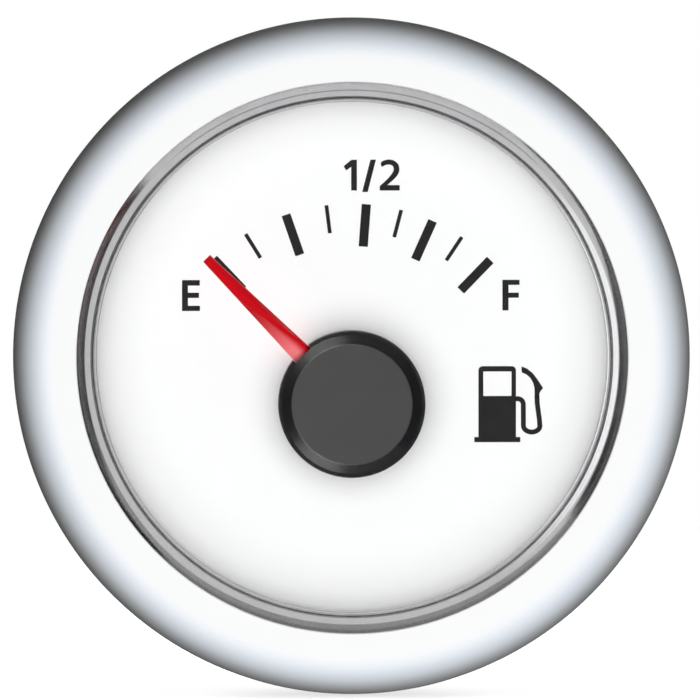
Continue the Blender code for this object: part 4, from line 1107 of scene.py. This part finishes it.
def makeClampRing():
    c = clamp
    rear = c["front"] + c["length"]
    step = c["front"] + c["flangeDepth"]
    outline = filleted(
        [
            (c["bore"], c["front"], 0.5 * mm), (c["flange"], c["front"], 0.5 * mm),
            (c["flange"], step, 0.25 * mm), (c["skirt"], step, 0.2 * mm),
            (c["skirt"], rear, 0.5 * mm), (c["bore"], rear, 0.4 * mm),
        ],
        0.3 * mm, 4,
    )
    growth = Growth("gripRibs")
    count = growth.size("Count", "Int")
    radius = growth.size("Radius")
    ribShape = growth.size("Rib", "Object")
    circle = growth.add("GeometryNodeMeshCircle", None, {"Vertices": count, "Radius": radius})
    position = growth.add("GeometryNodeInputPosition").outputs[0]
    upright = growth.add("GeometryNodeTransform", None, {
        "Geometry": circle, "Rotation": (math.pi / 2, 0.0, 0.0),
    })
    turned = growth.add("GeometryNodeTransform", None, {
        "Geometry": upright, "Rotation": (0.0, math.pi / c["ribs"], 0.0),
    })
    aligned = growth.add("FunctionNodeAlignEulerToVector", {"axis": "X", "pivot_axis": "Y"}, {
        "Vector": position,
    })
    rib = growth.add("GeometryNodeObjectInfo", None, {"Object": ribShape})
    ribs = growth.add("GeometryNodeInstanceOnPoints", None, {
        "Points": turned, "Instance": rib.outputs["Geometry"], "Rotation": aligned,
    })
    growth.finish(ribs.outputs[0], finishes["clampBlack"])

    bm = bmesh.new()
    near, far = -1.2 * mm, c["flange"] - c["skirt"] - 0.25 * mm
    half = c["ribWidth"] / 2
    ribOutline = filleted([(near, -half), (far, -half / 1.8), (far, half / 1.8), (near, half)], 0.3 * mm, 4)
    addPlate(bm, ribOutline, step - 0.4 * mm, rear - 1.0 * mm)
    ribPiece = newPiece("gripRib", bm, finishes["clampBlack"])
    ribPiece.hide_render = True
    grips = placed("grips", bpy.data.meshes.new("grips"))
    growth.grown(grips, {"Count": c["ribs"], "Radius": c["skirt"], "Rib": ribPiece})
    bpy.data.objects.remove(ribPiece)
    piece = lathed("clampNut", outline, finishes["clampBlack"], 192)
    joined(piece, grips, "UNION")
    creased(piece, 30.0)
    rides(piece, "clamp", "black_plastic", "clamp_ring")


makeClampRing()
print("clamp ring made")

nodeFinishes = {
    "dialWhite": ["dial_plate"],
    "rubber": ["lens_gasket"],
    "clearGuide": ["light_guide"],
    "whiteFrame": ["reflector_frame", "movement_cover"],
    "lampFace": ["led_1", "led_2", "led_3", "led_4"],
    "boardGreen": ["circuit_board"],
    "chipBlack": ["driver_chip", "voltage_regulator", "input_diode", "movement_case"],
    "canMetal": ["buffer_capacitor"],
    "housingBlack": ["contact_carrier"],
    "tin": [f"contact_pin_{i + 1}" for i in range(8)] + [f"motor_pin_{i + 1}" for i in range(4)],
    "steel": ["stator_core", "output_shaft"],
    "bobbinAmber": ["left_bobbin", "right_bobbin"],
    "copper": ["left_coil", "right_coil"],
    "magnetDark": ["rotor_magnet"],
    "gearWhite": ["rotor_pinion", "layshaft_gear", "output_wheel"],
}
for finishName, names in nodeFinishes.items():
    for name in names:
        nodes[name].data.materials.clear()
        nodes[name].data.materials.append(finishes[finishName])
print("nodes finished:", sum(len(names) for names in nodeFinishes.values()))

stage = {
    "floorDrop": 0.2 * mm,
    "floorRadius": 1.2,
    "fadeStart": 0.10,
    "fadeEnd": 0.45,
    "floorGlow": 0.72,
    "floorSides": 96,
    "worldDim": 0.045,
}


def makeFloor():
    made = newFinish("floor")
    place = made.place()
    x, y, _ = made.axes(place)
    far = ((x * x + y * y) ** 0.5).within(stage["fadeStart"], stage["fadeEnd"])
    shown = made.seen()
    paint = made.add("BsdfDiffuse", None, {"Color": rgb(0.8, 0.8, 0.8)})
    glow = made.add("Emission", None, {
        "Color": rgb(1, 1, 1), "Strength": shown * stage["floorGlow"],
    })
    lit = made.add("AddShader", None, {0: paint, 1: glow})
    white = made.add("Emission", None, {"Color": rgb(1, 1, 1), "Strength": 1.0})
    surface = made.add("MixShader", None, {0: far * shown, 1: lit, 2: white})
    made.finished(surface)
    bm = bmesh.new()
    level = cadBox[0].z - stage["floorDrop"]
    turns = [2 * math.pi * i / stage["floorSides"] for i in range(stage["floorSides"])]
    radius = stage["floorRadius"]
    rim = [bm.verts.new((radius * math.cos(turn), radius * math.sin(turn), level)) for turn in turns]
    bm.faces.new(rim)
    floor = newPiece("floor", bm, made.owner)
    floor.visible_shadow = False
    floor.visible_diffuse = False
    floor.visible_glossy = False
    floor.visible_transmission = False
    return floor


def makeWorld():
    world = bpy.data.worlds.new("studio")
    bpy.context.scene.world = world
    made = Finish(world)
    dim = stage["worldDim"]
    strength = made.seen() * (1 - dim) + dim
    made.finished(made.add("Background", None, {"Color": rgb(1, 1, 1), "Strength": strength}))


def makeFlag(name, corners, level=0.02, through=True):  # a card that only reflections see
    made = newFinish(name)
    surface = made.add("Emission", None, {"Color": rgb(level, level, level), "Strength": 1.0})
    made.finished(surface)
    bm = bmesh.new()
    bm.faces.new([bm.verts.new(corner) for corner in corners])
    card = newPiece(name, bm, made.owner)
    card.visible_camera = False
    card.visible_diffuse = False
    card.visible_shadow = False
    card.visible_transmission = through


def makeFlags():
    near, far = -0.40, 0.02
    left = [
        (far, -0.22), (far, 0.24), (near, 0.24), (near, -0.06), (-0.21, -0.20), (-0.20, -0.46),
        (-0.13, -0.46),
    ]
    right = [
        (far, -0.30), (near, -0.30), (near, 0.06), (-0.24, 0.18), (-0.20, 0.40), (-0.13, 0.40), (far, 0.16),
    ]
    makeFlag("leftFlag", [(-0.35, y, z) for y, z in left])
    makeFlag("rightFlag", [(0.35, y, z) for y, z in right])
    cards = {  # the axis that a card stands across, its station there, two corners and its brightness
        "rightCard": (0, 0.36, (-0.45, 0.08), (-0.12, 0.42), 0.40),
        "topFlag": (2, 0.35, (-0.55, near), (0.45, far), 0.42),
        "leftCard": (1, -0.45, (-0.30, -0.12), (-0.11, 0.12), 1.9),
        "lowCard": (1, -0.45, (-0.30, -0.42), (0.30, -0.30), 0.45),
    }
    for name, (axis, station, (u, v), (uEnd, vEnd), level) in cards.items():
        corners = [[u, v], [uEnd, v], [uEnd, vEnd], [u, vEnd]]
        for corner in corners:
            corner.insert(axis, station)
        makeFlag(name, corners, level)
    turns = [2 * math.pi * i / 48 for i in range(48)]
    makeFlag("cameraFlag", [(0.05 * math.cos(a), -0.45, 0.05 * math.sin(a)) for a in turns])
    ring = [(math.cos(a), math.sin(a)) for a in [*turns, 0.0]]
    inner = [(0.05 * x, 0.12, 0.05 * z) for x, z in ring]
    outer = [(0.35 * x, 0.12, 0.35 * z) for x, z in ring]
    makeFlag("edgeFlag", inner + outer[::-1], 0.02, False)


def softbox(name, place, size, level, aim=(0.0, 0.0, 0.0)):  # level is the light's share of full white
    data = bpy.data.lights.new(name, "AREA")
    data.shape = "DISK"
    data.size = size
    lamp = placed(name, data)
    lamp.location = place
    toward = Vector(aim) - Vector(place)
    lamp.rotation_euler = toward.to_track_quat("-Z", "Y").to_euler()
    area = (size / 2) ** 2
    data.energy = level * (area + toward.length**2) * math.pi * math.pi
    lamp.visible_camera = False
    return lamp


def linked(lamp, lit, passed=()):  # lights only the lit objects and isn't blocked by the passed ones
    only = bpy.data.collections.new(lamp.name)
    for thing in lit:
        only.objects.link(thing)
    lamp.light_linking.receiver_collection = only
    if passed:
        clear = bpy.data.collections.new(f"{lamp.name}Passed")
        for thing in passed:
            clear.objects.link(thing)
        for entry in clear.collection_objects:
            entry.light_linking.link_state = "EXCLUDE"
        lamp.light_linking.blocker_collection = clear


def makeLamps(floor):
    inked = ("dialTicks", "letterE", "letterF", "halfMark", "fuelSymbol")
    dialThings = [nodes["dial_plate"], *(bpy.data.objects[name] for name in inked)]
    others = [t for t in bpy.context.scene.objects if t.type == "MESH" and t not in dialThings]
    frontLamps = [
        (softbox("frontSoftbox", (0.035, -0.6, -0.042), 0.24, 1.06), others),
        (softbox("dialSoftbox", (-0.005, -0.6, -0.01), 0.12, 0.14), dialThings),
        (softbox("dialWash", (0.0, -0.6, -0.03), 1.10, 0.92), dialThings),
    ]
    for lamp, lit in frontLamps:
        lamp.visible_glossy = False
        lamp.visible_transmission = False
        linked(lamp, lit, [bpy.data.objects["pointerBlade"]] if lit is dialThings else [])
    behind = [t for t in bpy.context.scene.objects if t.type == "MESH" and t.name != "bezel"]
    for name, side in (("Left", -1), ("Right", 1)):
        linked(softbox(f"rear{name}", (side * 0.12, 0.80, 0.06), 0.30, 0.30), behind)
        linked(softbox(f"side{name}", (side * 0.55, 0.30, 0.35), 0.40, 0.40), behind)
    bezelRear = softbox("bezelRear", (0.0, 0.80, 0.06), 0.50, 0.60)
    bezelRear.visible_glossy = False
    linked(bezelRear, [bpy.data.objects["bezel"]])
    for name, turn, level in (("Low", 210, 2.1), ("High", 330, 2.0)):
        place = Vector((math.sin(math.radians(turn)) * 0.5, -0.26, math.cos(math.radians(turn)) * 0.5))
        glint = softbox(f"capGlint{name}", place, 0.22, level)
        glint.visible_diffuse = False
        linked(glint, [bpy.data.objects["pointerCap"]])
    overhead = softbox("floorSoftbox", (0.0, 0.05, 0.60), 0.5, 0.36, (0.0, 0.05, 0.0))
    overhead.visible_glossy = False
    linked(overhead, [floor])


def makeCamera():
    view = {
        "pixel": 0.08715 * mm, "pixels": 700, "right": -1.5, "up": 6.0,
        "lens": 1200.0, "left": 0.7, "above": 1.5,  # the last two in degrees
    }
    data = bpy.data.cameras.new("camera")
    data.lens = view["lens"]
    data.sensor_width = 36.0
    data.clip_start = 0.1
    data.clip_end = 20.0
    camera = placed("camera", data)
    width = view["pixel"] * view["pixels"]
    distance = width * data.lens / data.sensor_width
    turn, rise = math.radians(view["left"]), math.radians(view["above"])
    back = Vector((-math.sin(turn) * math.cos(rise), -math.cos(turn) * math.cos(rise), math.sin(rise)))
    aim = Vector((view["right"] * view["pixel"], -1.8 * mm, view["up"] * view["pixel"]))
    camera.location = aim + back * distance
    camera.rotation_euler = (-back).to_track_quat("-Z", "Y").to_euler()
    bpy.context.scene.camera = camera


makeWorld()
makeFlags()
makeLamps(makeFloor())
makeCamera()
bpy.context.scene.view_settings.view_transform = "Standard"
print("stage made")
